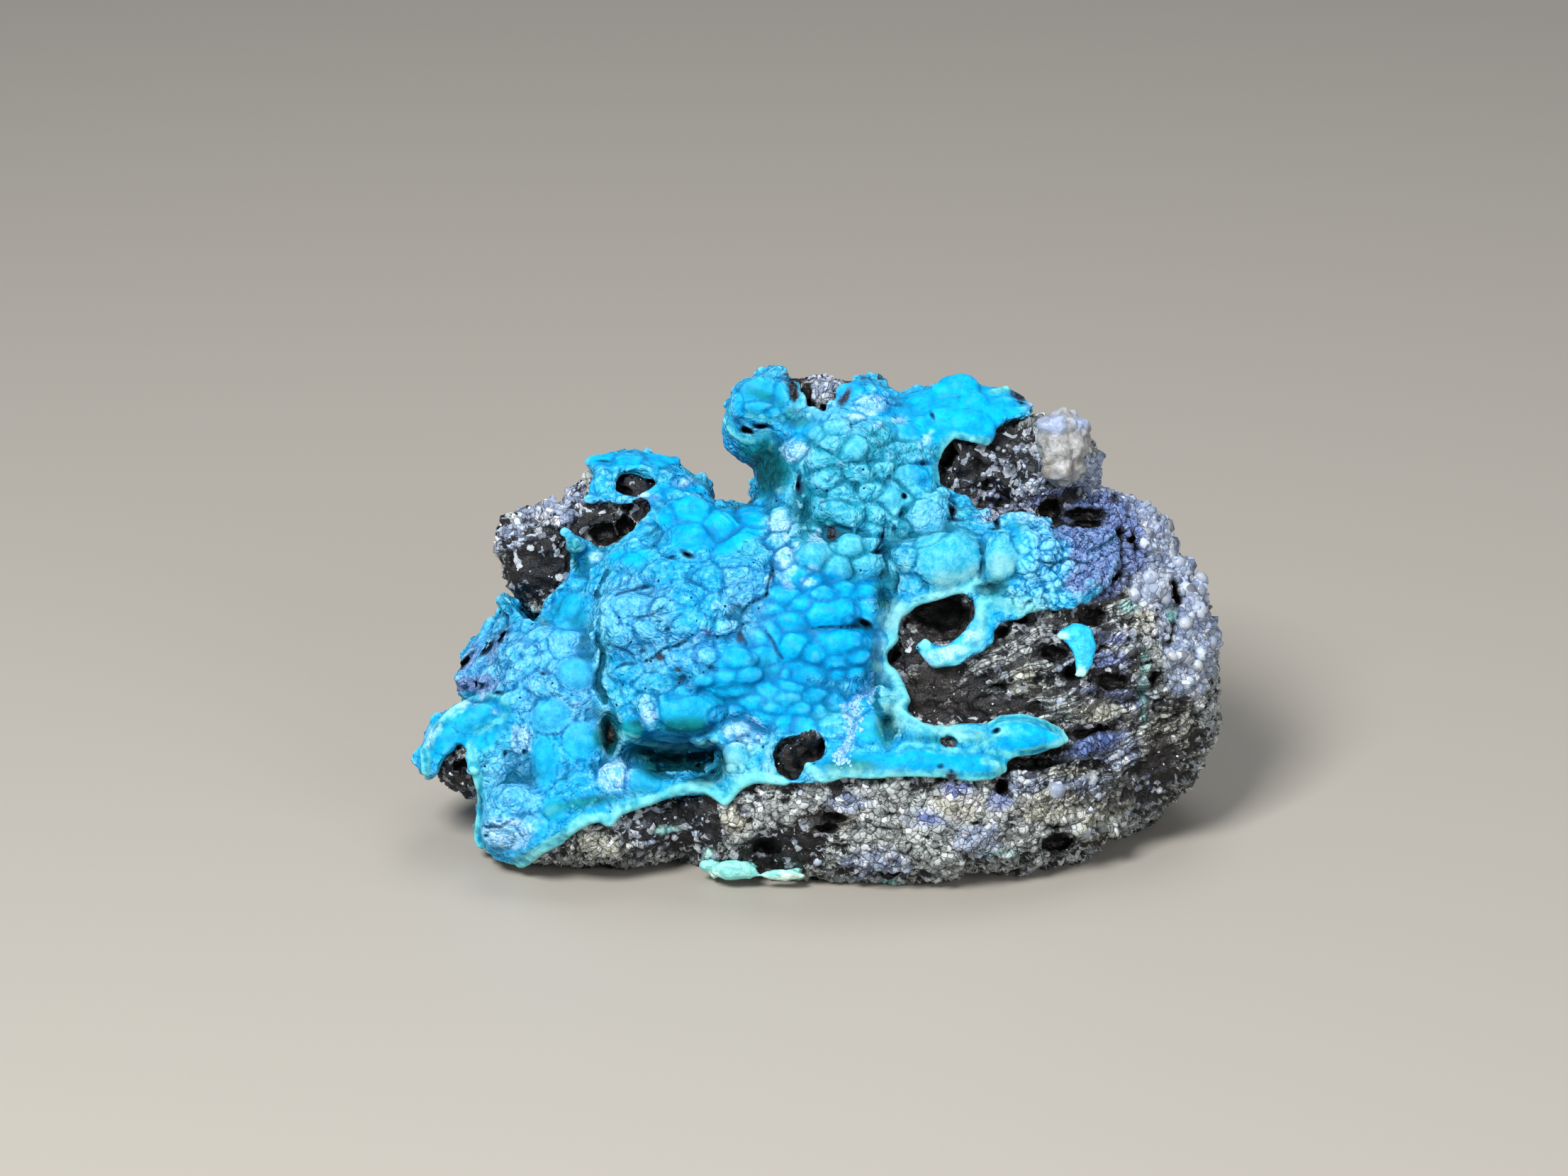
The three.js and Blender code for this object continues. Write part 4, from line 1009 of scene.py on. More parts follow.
    # cracks that widen and close
    wide = (g.noise(place, 0.75, 3.0, 0.6) - 0.5) * 0.5 + (g.noise(place, 3.0, 1.0) - 0.5) * 0.25
    wide = wide + violet * 0.07
    lines = g.step(wide - 0.01 - fine, -0.02, 0.03)
    lines = g.most(lines, g.step(wide - coarse, -0.03, 0.04)) * (1 - plain * 0.95) * (1 - zone("cave", 0.3))
    base = g.mix(lines * 0.6, base, colour("0b6296"))
    base = g.mix(g.step(wide - 0.1 - fine, -0.02, 0.03) * (1 - plain * 0.9) * 0.8, base, colour("06283f"))
    specks = g.step(g.cells(g.warped(place, 0.3, 0.2), 0.95), 0.12, 0.06) * (1 - plain * 0.75)
    base = g.mix(specks, base, colour("041f31"))
    base = g.mix(violet * 0.65, base, g.mix(g.step(blot + speck, -0.2, 0.2), colour("3f4f84"), colour("8c9ccc")))
    plates = platesOf(g, place) + blot * 0.08
    plated = zone("plated", 0.3)
    base = g.mix(g.step(plates + blot * 0.4, 0.05, 0.3) * plated * (1 - violet) * 0.6, base, colour("7accec"))
    base = g.mix(g.step(plates, 0.06, 0.0) * plated * (0.5 + violet * 0.4), base, g.mix(violet, colour("0b4a7a"), colour("0c1230")))
    # painted shade: near-black teal in the caves
    cave = g.step(fieldOf(g, "cave") + jitter * 0.4, -0.3, 0.45)
    base = g.mix(cave * 0.9, base, g.mix(g.step(blot, -0.2, 0.2), colour("03262c"), colour("07505a")))
    base = g.mix(zone("brown", 0.15), base, g.mix(g.step(blot + speck, -0.1, 0.1), colour("0c0c12"), colour("3c3c48")))
    dark = fieldOf(g, "dark") + blot * 0.12
    base = g.mix(g.step(dark, -0.12, 0.02) * 0.85, base, colour("043f60"))
    base = g.mix(g.step(dark, 0.0, 0.1) * 0.95, base, colour("05090f"))
    rough = 0.6 - smooth * 0.15 + blot * 0.2
    domes = g.step(fine, -0.05, 0.3) * (1 - plain)
    height = blot * (0.7 - plain * 0.3) + speck * (0.6 - plain * 0.3) + domes * 0.7 - lines * 0.5
    surface(g, base, rough, height, 0.7, 0.00016, 0.08)
    return material


blueMineral = crustMaterial()
blueCrust = makeCrust()
spots = pointsOf(blueCrust)
behind = frontOf(spots) > 1.3
thinned(blueCrust, crust["faces"], behind)
blueShape = blueCrust.data.copy()
finished(blueCrust, blueMineral, "blue_crust")

# the matrix stone

matrix = {
    "voxel": 0.2,
    "grow": 0.2,  # the rock comes this much nearer to the crust than its solid, so no light shows between
    "faces": 195000,
    "lumps": [
        # pebbles and lumps on the foot
        (-5.3, 4.5, 0.95, 0.8), (-4.9, 3.4, 0.6, 0.5), (6.1, 2.6, 0.8, 0.7), (7.6, 2.2, 0.6, 0.6), (3.1, 1.9, 1.3, 0.9),
        (8.9, 2.9, 0.9, 0.6), (4.1, 4.2, 1.0, 0.6), (-2.4, 4.6, 0.8, 0.5), (-9.8, 4.7, 0.3, 0.3), (12.1, 6.9, 0.8, 0.8),
        (12.0, 5.5, 0.6, 0.7), (9.9, 6.3, 0.5, 0.4), (-14.5, 3.2, 0.9, 0.35, 10), (-12.8, 2.7, 0.55, 0.4),
        (-17.4, 1.0, 0.35, 0.28), (-15.7, 1.8, 0.4, 0.3), (13.9, 5.6, 1.6, 0.7), (16.4, 4.9, 1.0, 0.8),
        (15.6, 3.9, 0.8, 0.5), (17.6, 3.6, 0.9, 0.6), (19.2, 3.7, 0.6, 0.5), (13.1, 7.6, 0.8, 0.45),
        # in the dark window and round it
        (5.8, 16.2, 0.6, 0.3, 0, 0.7), (8.6, 17.2, 0.9, 0.25, -12, 0.7), (6.4, 16.6, 1.2, 0.9, 0, 0.3), (5.45, 13.85, 0.42, 0.28, 0, 0.8),
        (5.3, 14.6, 0.9, 0.35, 10, 0.7), (4.5, 14.3, 0.4, 0.5), (7.3, 12.25, 0.3, 0.27, 0, 0.7), (8.45, 12.6, 0.8, 0.75, 0, 0.5),
        (6.6, 12.8, 1.4, 1.2, 0, 0.35), (8.0, 11.3, 1.8, 0.5, 0, 0.4), (11.0, 11.4, 1.6, 0.35, 0, 0.4),
        # the dark nub in the crust
        (-0.7, 8.95, 0.95, 0.72, 15, 1.3, 1.9), (-1.95, 8.1, 0.72, 0.95, 10, 1.3, 1.8), (-1.5, 7.15, 0.5, 0.4, 0, 1.25, 1.5),
        (18.9, 21.7, 0.9, 0.8, 30, 0.9), (18.6, 22.8, 0.8, 0.6, 30, 0.9), (18.9, 20.3, 0.6, 0.6, 0, 0.9), (17.4, 23.3, 1.0, 0.4, 10, 0.9),
        (17.9, 18.6, 1.2, 0.5, 35, 0.8), (19.5, 19.9, 0.5, 0.5, 0, 0.9),
        # the knobbly ground on the right
        (12.6, 12.8, 0.85, 0.7), (12.6, 11.7, 0.4, 0.35), (14.3, 11.8, 0.9, 0.6, 20), (15.1, 11.2, 0.6, 0.4),
        (12.9, 14.0, 1.3, 0.55, -12), (14.8, 13.7, 0.7, 0.5), (17.0, 11.3, 0.9, 0.6), (13.6, 16.6, 0.7, 0.5, 30),
        (12.9, 15.6, 0.6, 0.5), (11.6, 14.6, 0.7, 0.4), (14.5, 16.8, 0.5, 0.4, 30), (17.6, 13.9, 0.9, 0.6),
        (17.0, 15.9, 1.1, 0.5, -10), (18.4, 15.6, 0.8, 0.35, 10), (17.2, 17.9, 1.2, 0.5, 30), (18.4, 17.3, 0.6, 0.5),
        (17.9, 12.2, 1.6, 0.35, -12, 0.7), (16.4, 8.95, 1.6, 0.3, 18, 0.7), (17.6, 7.9, 0.9, 0.6), (18.8, 9.2, 0.7, 0.7),
        # the pale lumps of the rind
        (20.3, 18.7, 1.5, 1.3, 0, 0.6), (21.75, 16.85, 0.42, 0.55, 0, 0.85), (20.4, 16.7, 0.8, 0.6), (19.6, 18.2, 0.7, 0.6),
        (20.7, 15.9, 0.4, 0.4, 0, 0.7), (19.8, 21.3, 1.0, 0.8), (21.4, 21.6, 1.1, 0.9), (20.6, 23.0, 0.8, 0.6),
        (22.6, 19.9, 0.9, 0.7), (23.6, 18.6, 0.8, 0.9), (23.2, 16.9, 1.0, 0.9), (24.1, 16.2, 0.6, 0.8),
        (22.6, 15.0, 0.7, 0.6), (23.5, 14.4, 0.7, 0.6), (18.8, 21.0, 0.5, 0.4), (18.2, 25.4, 1.0, 0.9, 0, 0.5),
        (16.6, 25.5, 0.5, 0.45, 0, 0.7), (17.0, 26.4, 1.1, 0.6, -25), (18.9, 24.0, 0.7, 0.5), (19.6, 22.9, 0.5, 0.7),
        # the black hollow below the crest
        (8.3, 26.4, 0.9, 1.1, 0, 0.5), (9.4, 27.0, 0.8, 0.9, 0, 0.6), (7.6, 25.4, 0.4, 0.6, 0, 0.7), (9.6, 25.2, 0.6, 0.4, 0, 0.7),
        (11.6, 28.3, 0.8, 0.8, 0, 0.6), (12.8, 28.4, 0.9, 0.8, 0, 0.6), (11.0, 26.8, 0.9, 0.8, 0, 0.6), (12.5, 26.9, 0.9, 0.7, 0, 0.6),
        (11.6, 25.4, 1.0, 0.7, 0, 0.6), (13.1, 25.3, 0.8, 0.7, 0, 0.6), (10.6, 24.3, 0.6, 0.5, 0, 0.7), (12.6, 24.1, 0.8, 0.5, 0, 0.6),
        (13.6, 23.7, 0.6, 0.4, 0, 0.7), (15.9, 24.0, 0.9, 0.6, 0, 0.5), (17.1, 24.2, 0.7, 0.6, 0, 0.5), (14.9, 29.6, 1.2, 0.4, -8, 0.6),
        (13.9, 29.2, 0.6, 0.5),
        # the black knob and the quartz beside it
        (-18.6, 19.6, 1.4, 1.3, 0, 0.4), (-17.2, 21.3, 1.1, 0.9, 0, 0.5), (-19.1, 21.2, 1.0, 0.9, 0, 0.5), (-17.4, 17.75, 0.6, 0.7, 0, 0.8),
        (-18.9, 22.6, 0.5, 0.6, -20), (-16.9, 23.6, 1.1, 0.9), (-16.0, 24.6, 0.9, 0.8), (-15.4, 25.8, 0.8, 0.7),
        (-14.7, 25.4, 0.5, 0.7), (-17.0, 22.6, 0.9, 0.4), (-15.9, 23.1, 0.4, 0.3), (-14.3, 22.6, 0.9, 0.6, 0, 0.5),
        (-12.6, 23.4, 0.8, 0.35, 15, 0.6), (-11.3, 23.9, 0.6, 0.5, 30, 0.7), (-11.7, 25.3, 1.0, 0.8, 0, 0.6),
        # quartz on the top of the column, and the ear's underside
        (0.0, 31.8, 1.1, 0.7, 0, 0.6), (0.4, 31.1, 0.7, 0.5, 0, 0.6), (-0.2, 30.6, 0.4, 0.3),
        (-22.0, 6.6, 0.8, 0.7, 0, 0.6), (-23.4, 6.4, 0.6, 0.4), (-22.0, 5.6, 0.5, 0.4), (0.6, 22.0, 0.5, 0.5, 0, 0.3),
    ],
    "holes": [
        (14.4, 23.4, 0.55, 0.75, -15), (16.6, 22.6, 1.1, 0.4, 0), (16.6, 23.2, 1.4, 0.45), (22.0, 18.5, 0.45, 1.0, 20),
        (21.6, 15.8, 0.32, 0.75, -5), (19.3, 21.6, 0.28, 0.5, -15), (18.6, 21.9, 0.3, 0.6, -10), (18.4, 24.15, 0.32, 0.28),
        (12.9, 7.8, 2.2, 0.3, 2), (16.8, 9.7, 1.7, 0.28, 10), (14.4, 8.6, 1.4, 0.16, 8), (10.0, 26.2, 0.25, 0.7),
        (7.9, 27.0, 0.6, 0.7), (10.5, 25.1, 0.5, 0.3), (4.5, 14.45, 0.35, 0.3), (7.4, 17.0, 1.7, 0.9), (15.6, 13.5, 0.4, 0.6),
        (17.9, 12.9, 1.1, 0.4), (17.3, 14.9, 0.3, 0.3), (-15.0, 19.35, 0.5, 0.3), (-12.4, 24.7, 0.5, 0.4),
        (-12.2, 23.8, 0.4, 0.25), (-13.6, 22.0, 0.9, 0.5), (-12.3, 22.4, 0.5, 0.6, -30), (0.7, 4.6, 0.9, 0.3), (4.1, 4.85, 0.5, 0.18),
        (9.4, 4.3, 0.5, 0.14), (-2.3, 5.6, 0.4, 0.2), (0.2, 3.9, 0.8, 0.3), (4.2, 0.95, 0.8, 0.18), (-3.4, 2.6, 0.8, 0.5),
        (14.6, 2.9, 1.0, 0.6), (11.0, 6.4, 0.4, 0.5), (14.3, 4.0, 0.7, 0.25), (16.8, 16.8, 0.9, 0.35, 15), (18.2, 19.2, 0.7, 0.3, 30),
        (20.2, 14.0, 0.4, 0.2), (20.6, 12.9, 0.3, 0.7, -30), (24.4, 18.0, 0.25, 0.14), (21.0, 11.8, 0.7, 0.2, 30), (-0.7, 30.1, 0.5, 0.45),
        (-0.9, 31.0, 0.3, 0.7), (0.4, 29.8, 0.5, 0.3, 20), (-1.4, 32.1, 0.8, 0.25), (1.6, 32.3, 0.4, 0.2), (3.4, 32.3, 0.7, 0.35),
        (15.3, 29.65, 0.7, 0.2), (14.3, 30.0, 0.4, 0.14), (12.2, 16.8, 0.5, 0.4), (11.2, 15.9, 0.5, 0.3), (14.3, 14.6, 0.8, 0.4),
        (-24.3, 6.7, 0.35, 0.25), (-22.3, 7.5, 0.7, 0.4), (13.1, 11.2, 0.6, 0.25), (11.0, 12.6, 0.9, 0.3),
    ],
    # how pale the grains are: pale ground, where most grains are light
    "pale": [
        (12.6, 28.4, 1.2, 1.5), (14.0, 9.0, 1.6, 0.3), (12.4, 4.8, 7.0, 2.4), (5.0, 4.6, 5.0, 2.2),
        (4.2, 5.4, 5.4, 1.25), (-2.9, 5.4, 2.0, 0.9), (8.4, 4.8, 2.6, 1.6), (4.4, 3.7, 2.0, 0.9), (15.2, 6.2, 4.6, 1.5),
        (15.2, 4.9, 3.4, 1.1), (-5.3, 4.5, 1.0, 0.85), (-4.9, 3.3, 0.7, 0.5), (-14.6, 3.2, 1.6, 0.45, 8), (-12.8, 2.6, 0.7, 0.5),
        (-17.4, 1.0, 0.45, 0.35), (3.0, 1.7, 2.4, 1.1), (6.9, 2.5, 1.7, 1.2), (9.6, 3.0, 1.7, 0.9), (13.0, 14.1, 2.4, 0.9, -8),
        (12.6, 12.8, 0.9, 0.8), (14.3, 11.7, 1.5, 0.7, 15), (17.0, 11.1, 1.6, 0.9), (8.4, 12.5, 0.85, 0.75), (16.9, 15.6, 2.0, 0.6, -6),
        (17.8, 12.2, 1.9, 0.32, -12), (16.5, 8.9, 1.8, 0.3, 18), (18.2, 8.7, 2.0, 1.4), (12.2, 6.5, 1.2, 1.1), (13.1, 15.6, 0.9, 0.5),
        (23.0, 17.3, 2.3, 4.0), (20.7, 21.7, 2.2, 2.0), (20.2, 18.5, 1.6, 1.7), (22.6, 14.0, 2.0, 1.8), (18.0, 25.4, 1.6, 1.5),
        (17.0, 26.5, 1.4, 0.7), (19.2, 23.6, 1.0, 1.0), (0.1, 31.4, 1.2, 1.0), (-19.1, 22.0, 0.6, 0.5), (-16.5, 24.1, 0.8, 1.2),
        (-15.2, 25.7, 0.7, 0.9), (-21.6, 12.1, 1.5, 0.5), (21.5, 12.3, 1.4, 1.0, 35), (19.3, 10.4, 1.2, 1.0), (20.4, 16.4, 1.0, 0.9),
        (5.8, 16.2, 0.6, 0.3), (5.45, 13.85, 0.4, 0.28), (7.3, 12.25, 0.28, 0.26), (21.8, 16.85, 0.45, 0.6), (-17.5, 18.0, 0.3, 0.5, -20),
        (14.7, 29.5, 1.6, 0.5, -10), (13.6, 16.4, 0.9, 0.35, 40), (15.7, 28.9, 1.2, 0.9), (9.6, 25.2, 0.6, 0.3), (20.6, 10.0, 2.0, 0.5, 20),
        (19.3, 3.9, 0.9, 0.6), (-9.8, 4.7, 0.25, 0.22), (-8.5, 3.6, 0.7, 0.25), (-10.6, 2.9, 0.9, 0.3), (-7.1, 1.9, 0.5, 0.7), (-9.0, 1.6, 0.8, 0.3, -35),
        (12.6, 24.9, 0.6, 0.4), (11.4, 25.2, 0.15, 0.12), (11.8, 26.4, 1.3, 1.0), (10.3, 24.7, 1.4, 0.5), (12.9, 25.2, 1.2, 0.6), (18.2, 17.5, 1.0, 0.6), (11.0, 2.5, 0.9, 0.2), (4.0, 0.45, 0.9, 0.2),
    ],
    # lilac-grey ground, like sugared quartz
    "lilac": [
        (23.0, 17.3, 2.4, 4.2), (20.7, 21.9, 2.4, 2.4), (18.1, 25.6, 1.8, 1.7), (18.0, 8.6, 1.8, 1.2), (12.2, 6.2, 1.2, 1.2),
        (3.2, 1.7, 2.2, 1.1), (9.6, 3.2, 1.6, 1.0), (0.1, 31.5, 1.3, 1.1), (-16.8, 23.7, 2.2, 2.4), (-19.1, 21.7, 1.2, 1.1),
        (6.6, 4.6, 1.4, 0.6), (-7.1, 1.9, 0.6, 0.8), (11.0, 25.0, 3.6, 3.4), (16.4, 13.8, 2.0, 0.9), (19.2, 11.8, 1.2, 0.7),
        (8.5, 12.6, 0.7, 0.7), (15.4, 6.5, 2.4, 0.6), (20.6, 6.5, 0.6, 0.9), (-21.7, 6.4, 1.4, 1.2), (-9.5, 4.0, 3.4, 1.6), (1.4, 5.5, 1.3, 0.7),
    ],
    # the massive pale rind, with hardly any dark between its grains
    "rind": [
        (23.2, 17.2, 2.3, 4.4), (20.9, 21.9, 2.3, 2.2), (18.0, 25.6, 2.0, 1.6), (16.6, 25.9, 1.6, 0.9), (19.4, 23.8, 1.2, 1.4),
        (20.4, 18.7, 1.4, 1.3), (22.8, 13.4, 1.6, 1.6), (-16.6, 24.4, 0.7, 1.2),
    ],
    # blue-violet streaks
    "violet": [
        (18.4, 22.4, 1.6, 1.6, 30), (17.0, 18.8, 1.4, 0.7, 30), (15.2, 24.6, 1.2, 0.5, 20),
        (16.9, 15.6, 1.9, 0.5, -6), (17.9, 12.1, 2.0, 0.35, -12), (16.5, 8.9, 1.8, 0.32, 18), (19.4, 23.4, 1.0, 1.2), (17.8, 13.9, 1.2, 0.8),
        (-21.6, 12.0, 1.6, 0.6), (11.2, 24.2, 0.9, 0.6), (17.2, 22.4, 1.6, 0.5), (10.8, 5.6, 0.7, 0.6), (6.4, 4.6, 0.7, 0.4), (8.3, 6.4, 0.9, 0.4),
        (13.9, 24.3, 0.9, 0.4, 20), (20.5, 6.6, 0.4, 0.7),
    ],
    # black, smooth ground
    "black": [
        (8.2, 26.6, 1.1, 1.3), (10.4, 26.0, 3.0, 2.2), (12.0, 28.0, 1.6, 1.2), (-18.2, 19.4, 2.0, 1.8), (-16.7, 20.6, 1.2, 1.6), (-13.8, 22.4, 1.8, 1.0),
        (-11.8, 25.1, 1.4, 1.1), (-11.6, 23.4, 1.2, 0.6, 25), (7.2, 16.8, 2.4, 1.5), (7.2, 12.4, 2.2, 2.0), (10.5, 11.3, 3.0, 0.7), (-0.8, 8.9, 1.2, 0.9),
        (-1.9, 7.9, 1.0, 1.2), (14.6, 23.4, 0.9, 1.0), (16.7, 23.6, 1.8, 1.3), (5.6, 14.2, 1.3, 0.8), (-1.4, 31.2, 0.9, 1.2), (1.6, 32.3, 2.4, 0.3),
        (12.9, 7.8, 2.4, 0.4), (16.6, 9.8, 1.9, 0.35, 10), (15.5, 13.4, 0.8, 0.9), (17.9, 12.9, 1.3, 0.45), (-9.6, 4.6, 2.2, 0.6), (-9.2, 3.3, 2.8, 1.0, 8), (-7.2, 4.4, 1.0, 1.0), (-2.6, 2.5, 2.8, 1.2, 12), (-8.0, 2.6, 1.6, 0.6), (20.5, 7.0, 1.2, 1.6, -20),
        (0.5, 4.4, 1.3, 0.5), (-22.7, 6.7, 1.6, 0.9), (21.9, 17.6, 0.6, 2.2), (14.7, 2.9, 1.4, 0.8), (12.5, 16.5, 1.2, 0.7),
        (14.2, 14.7, 1.1, 0.6), (16.8, 16.9, 1.3, 0.5, 15), (11.1, 6.4, 0.6, 0.7), (18.8, 21.8, 0.7, 0.8), (-9.0, 8.0, 3.4, 1.6), (-13.0, 9.6, 1.3, 1.9, 10), (4.2, 0.9, 0.9, 0.2),
    ],
    "brown": [
        (7.2, 16.8, 2.2, 1.4), (7.2, 12.4, 2.2, 1.8), (-1.3, 8.3, 1.9, 1.8), (-9.0, 8.0, 3.4, 1.6), (-13.0, 9.6, 1.3, 1.9, 10), (-22.4, 6.6, 0.8, 0.5), (7.6, 17.0, 1.6, 0.9), (10.4, 11.3, 2.4, 0.5), (7.6, 11.3, 1.4, 0.5), (0.8, 4.4, 1.6, 0.6), (7.7, 6.7, 0.7, 0.4),
        (17.2, 17.8, 1.4, 0.6, 30), (21.6, 9.0, 1.8, 3.0, -20), (18.2, 5.4, 1.4, 1.0, 30), (17.6, 2.9, 1.6, 0.7),
    ],
    "cream": [
        (20.3, 18.7, 1.5, 1.1), (16.4, 25.6, 0.9, 0.6), (14.0, 5.2, 2.4, 0.9), (20.2, 16.6, 0.8, 0.5), (16.8, 4.6, 1.2, 0.8), (12.8, 12.7, 1.0, 1.2),
        (-5.3, 4.5, 0.9, 0.8), (-13.6, 2.9, 2.0, 0.6), (8.2, 5.3, 1.6, 0.8), (17.3, 11.0, 1.4, 0.6), (15.4, 7.4, 1.6, 0.5), (22.4, 13.7, 0.9, 0.6),
    ],
    "turquoise": [
        (21.8, 16.85, 0.4, 0.55), (15.6, 30.0, 1.2, 0.25, -20), (16.4, 29.2, 0.3, 0.7), (19.9, 12.6, 0.25, 1.6), (19.9, 10.6, 0.3, 0.4), (-9.4, 3.6, 0.8, 0.25),
        (4.0, 0.4, 0.8, 0.2), (11.0, 2.45, 0.9, 0.16), (-7.0, 1.9, 0.35, 0.6), (18.9, 17.4, 0.5, 0.3), (-18.7, 16.9, 1.6, 0.5),
    ],
    "plated": [(18.7, 21.6, 1.5, 2.6, 15), (17.2, 23.6, 1.5, 0.8, 20), (17.6, 18.6, 1.4, 0.6, 35), (16.5, 8.9, 1.8, 0.4, 18)],
    "layers": [(14.5, 12.5, 6.0, 4.5), (16.5, 7.0, 4.5, 2.0), (21.0, 8.5, 2.5, 5.0), (17.0, 17.5, 2.4, 1.2)],
}


def layered(g, place):
    # the rock's own directions: long across the face and a little up to the right
    ways = ((0.5, 0.17, 0.1), (-0.35, 0.92, 0.1), (0.1, -0.1, 0.75))
    parts = [g.vector("DOT_PRODUCT", place, way).other("Value") for way in ways]
    return g.add("ShaderNodeCombineXYZ", {}, dict(enumerate(parts)))


def paleGround(g, place, field):
    # above 0 where the rock is pale: ragged islands, commoner where the ground is drawn pale
    islands = g.noise(layered(g, g.warped(place, 1.6, 0.8)), 0.85, 6.0, 0.68) - 0.5
    ground = g.step(field("pale") + islands * 4.0, -0.6, 0.6) - g.step(field("black") + islands * 3.0, -0.5, 0.5) * 1.7
    rind = g.step(field("rind") + islands * 3.0, -0.5, 0.5)
    mood = field("back") * (g.noise(place, 6.5, 2.0) - 0.5)
    return islands * 2.4 + ground * 0.36 + rind * 0.6 + mood * 1.8 + 0.05


def ledges(g, place):
    # broken ledges along the rock's layers
    level = g.add("ShaderNodeSeparateXYZ", {}, {0: layered(g, g.warped(place, 2.6, 1.5))}).other("Y")
    return g.noise(g.add("ShaderNodeCombineXYZ", {}, {0: level}), 0.7, 2.0, 0.65) - 0.5


def matrixRelief(g, place, field, given):
    pale = g.step(paleGround(g, place, field), -0.12, 0.16)
    rugged = g.noise(place, 2.4, 5.0, 0.6) - 0.5
    grain = g.noise(place, 0.5, 3.0, 0.7) - 0.5
    chunk = g.step(g.cells(g.warped(place, 0.7, 0.4), 0.8, "DISTANCE_TO_EDGE"), 0.0, 0.22) - 0.6
    step = ledges(g, place) * g.step(field("layers"), -0.5, 0.8)
    rind = g.step(field("rind") + (g.noise(place, 1.6) - 0.5) * 0.8, -0.3, 0.2)
    big = 0.5 - g.cells(g.warped(place, 0.8, 0.4), 1.5)
    small = 0.45 - g.cells(g.warped(place, 0.4, 0.2), 0.75)
    block = g.step(g.cells(g.warped(place, 0.3, 0.16), 0.4, "DISTANCE_TO_EDGE"), 0.0, 0.16) * pale
    plates = g.step(platesOf(g, place), 0.0, 0.12) * g.step(field("plated"), -0.3, 0.2)
    return (
        (big * 1.3 + small) * rind * given["Rind"]
        + (block - 0.5) * given["Blocks"]
        + plates * given["Plates"]
        + rugged * given["Rugged"] * (1 - rind * 0.4)
        + (pale - 0.5) * given["Pale"]
        + grain * given["Grain"]
        + chunk * given["Chunks"]
        + step * given["Ledges"]
    )


def makeMatrix():
    base = modified(remeshed(cadCopy("matrix"), 0.34), "SMOOTH", factor=0.5, iterations=4)
    modified(base, "DISPLACE", strength=matrix["grow"], mid_level=0.0)
    skin = skinOf(base)
    lumps = lumpMesh("rockLumps", matrix["lumps"], skin, 0.45)
    piece = remeshed(joined("matrixRock", base, lumps), matrix["voxel"])
    runTree(piece, strays, {"Least": 3000.0})
    modified(piece, "SMOOTH", factor=0.5, iterations=1)
    points = pointsOf(piece)
    print("matrix joined:", len(piece.data.polygons), "faces")
    holes = onFront(points, blobField(points, matrix["holes"]), 2.0)
    for name in ("pale", "rind", "lilac", "violet", "black", "brown", "cream", "turquoise", "layers", "plated"):
        setField(piece, name, onFront(points, blobField(points, matrix[name])))
    setField(piece, "back", 1 - frontShare(points))
    setField(piece, "dark", holes)
    setPoints(piece, sunk(points, holes, 1.2, 0.3))
    relief = reliefTree("matrixRelief", matrixRelief, ("Rugged", "Pale", "Grain", "Chunks", "Ledges", "Rind", "Blocks", "Plates"))
    return runTree(
        piece,
        relief,
        {"Rugged": 1.1, "Pale": 0.26, "Grain": 0.3, "Chunks": 0.2, "Ledges": 1.7, "Rind": 0.6, "Blocks": 0.07, "Plates": 0.16},
    )


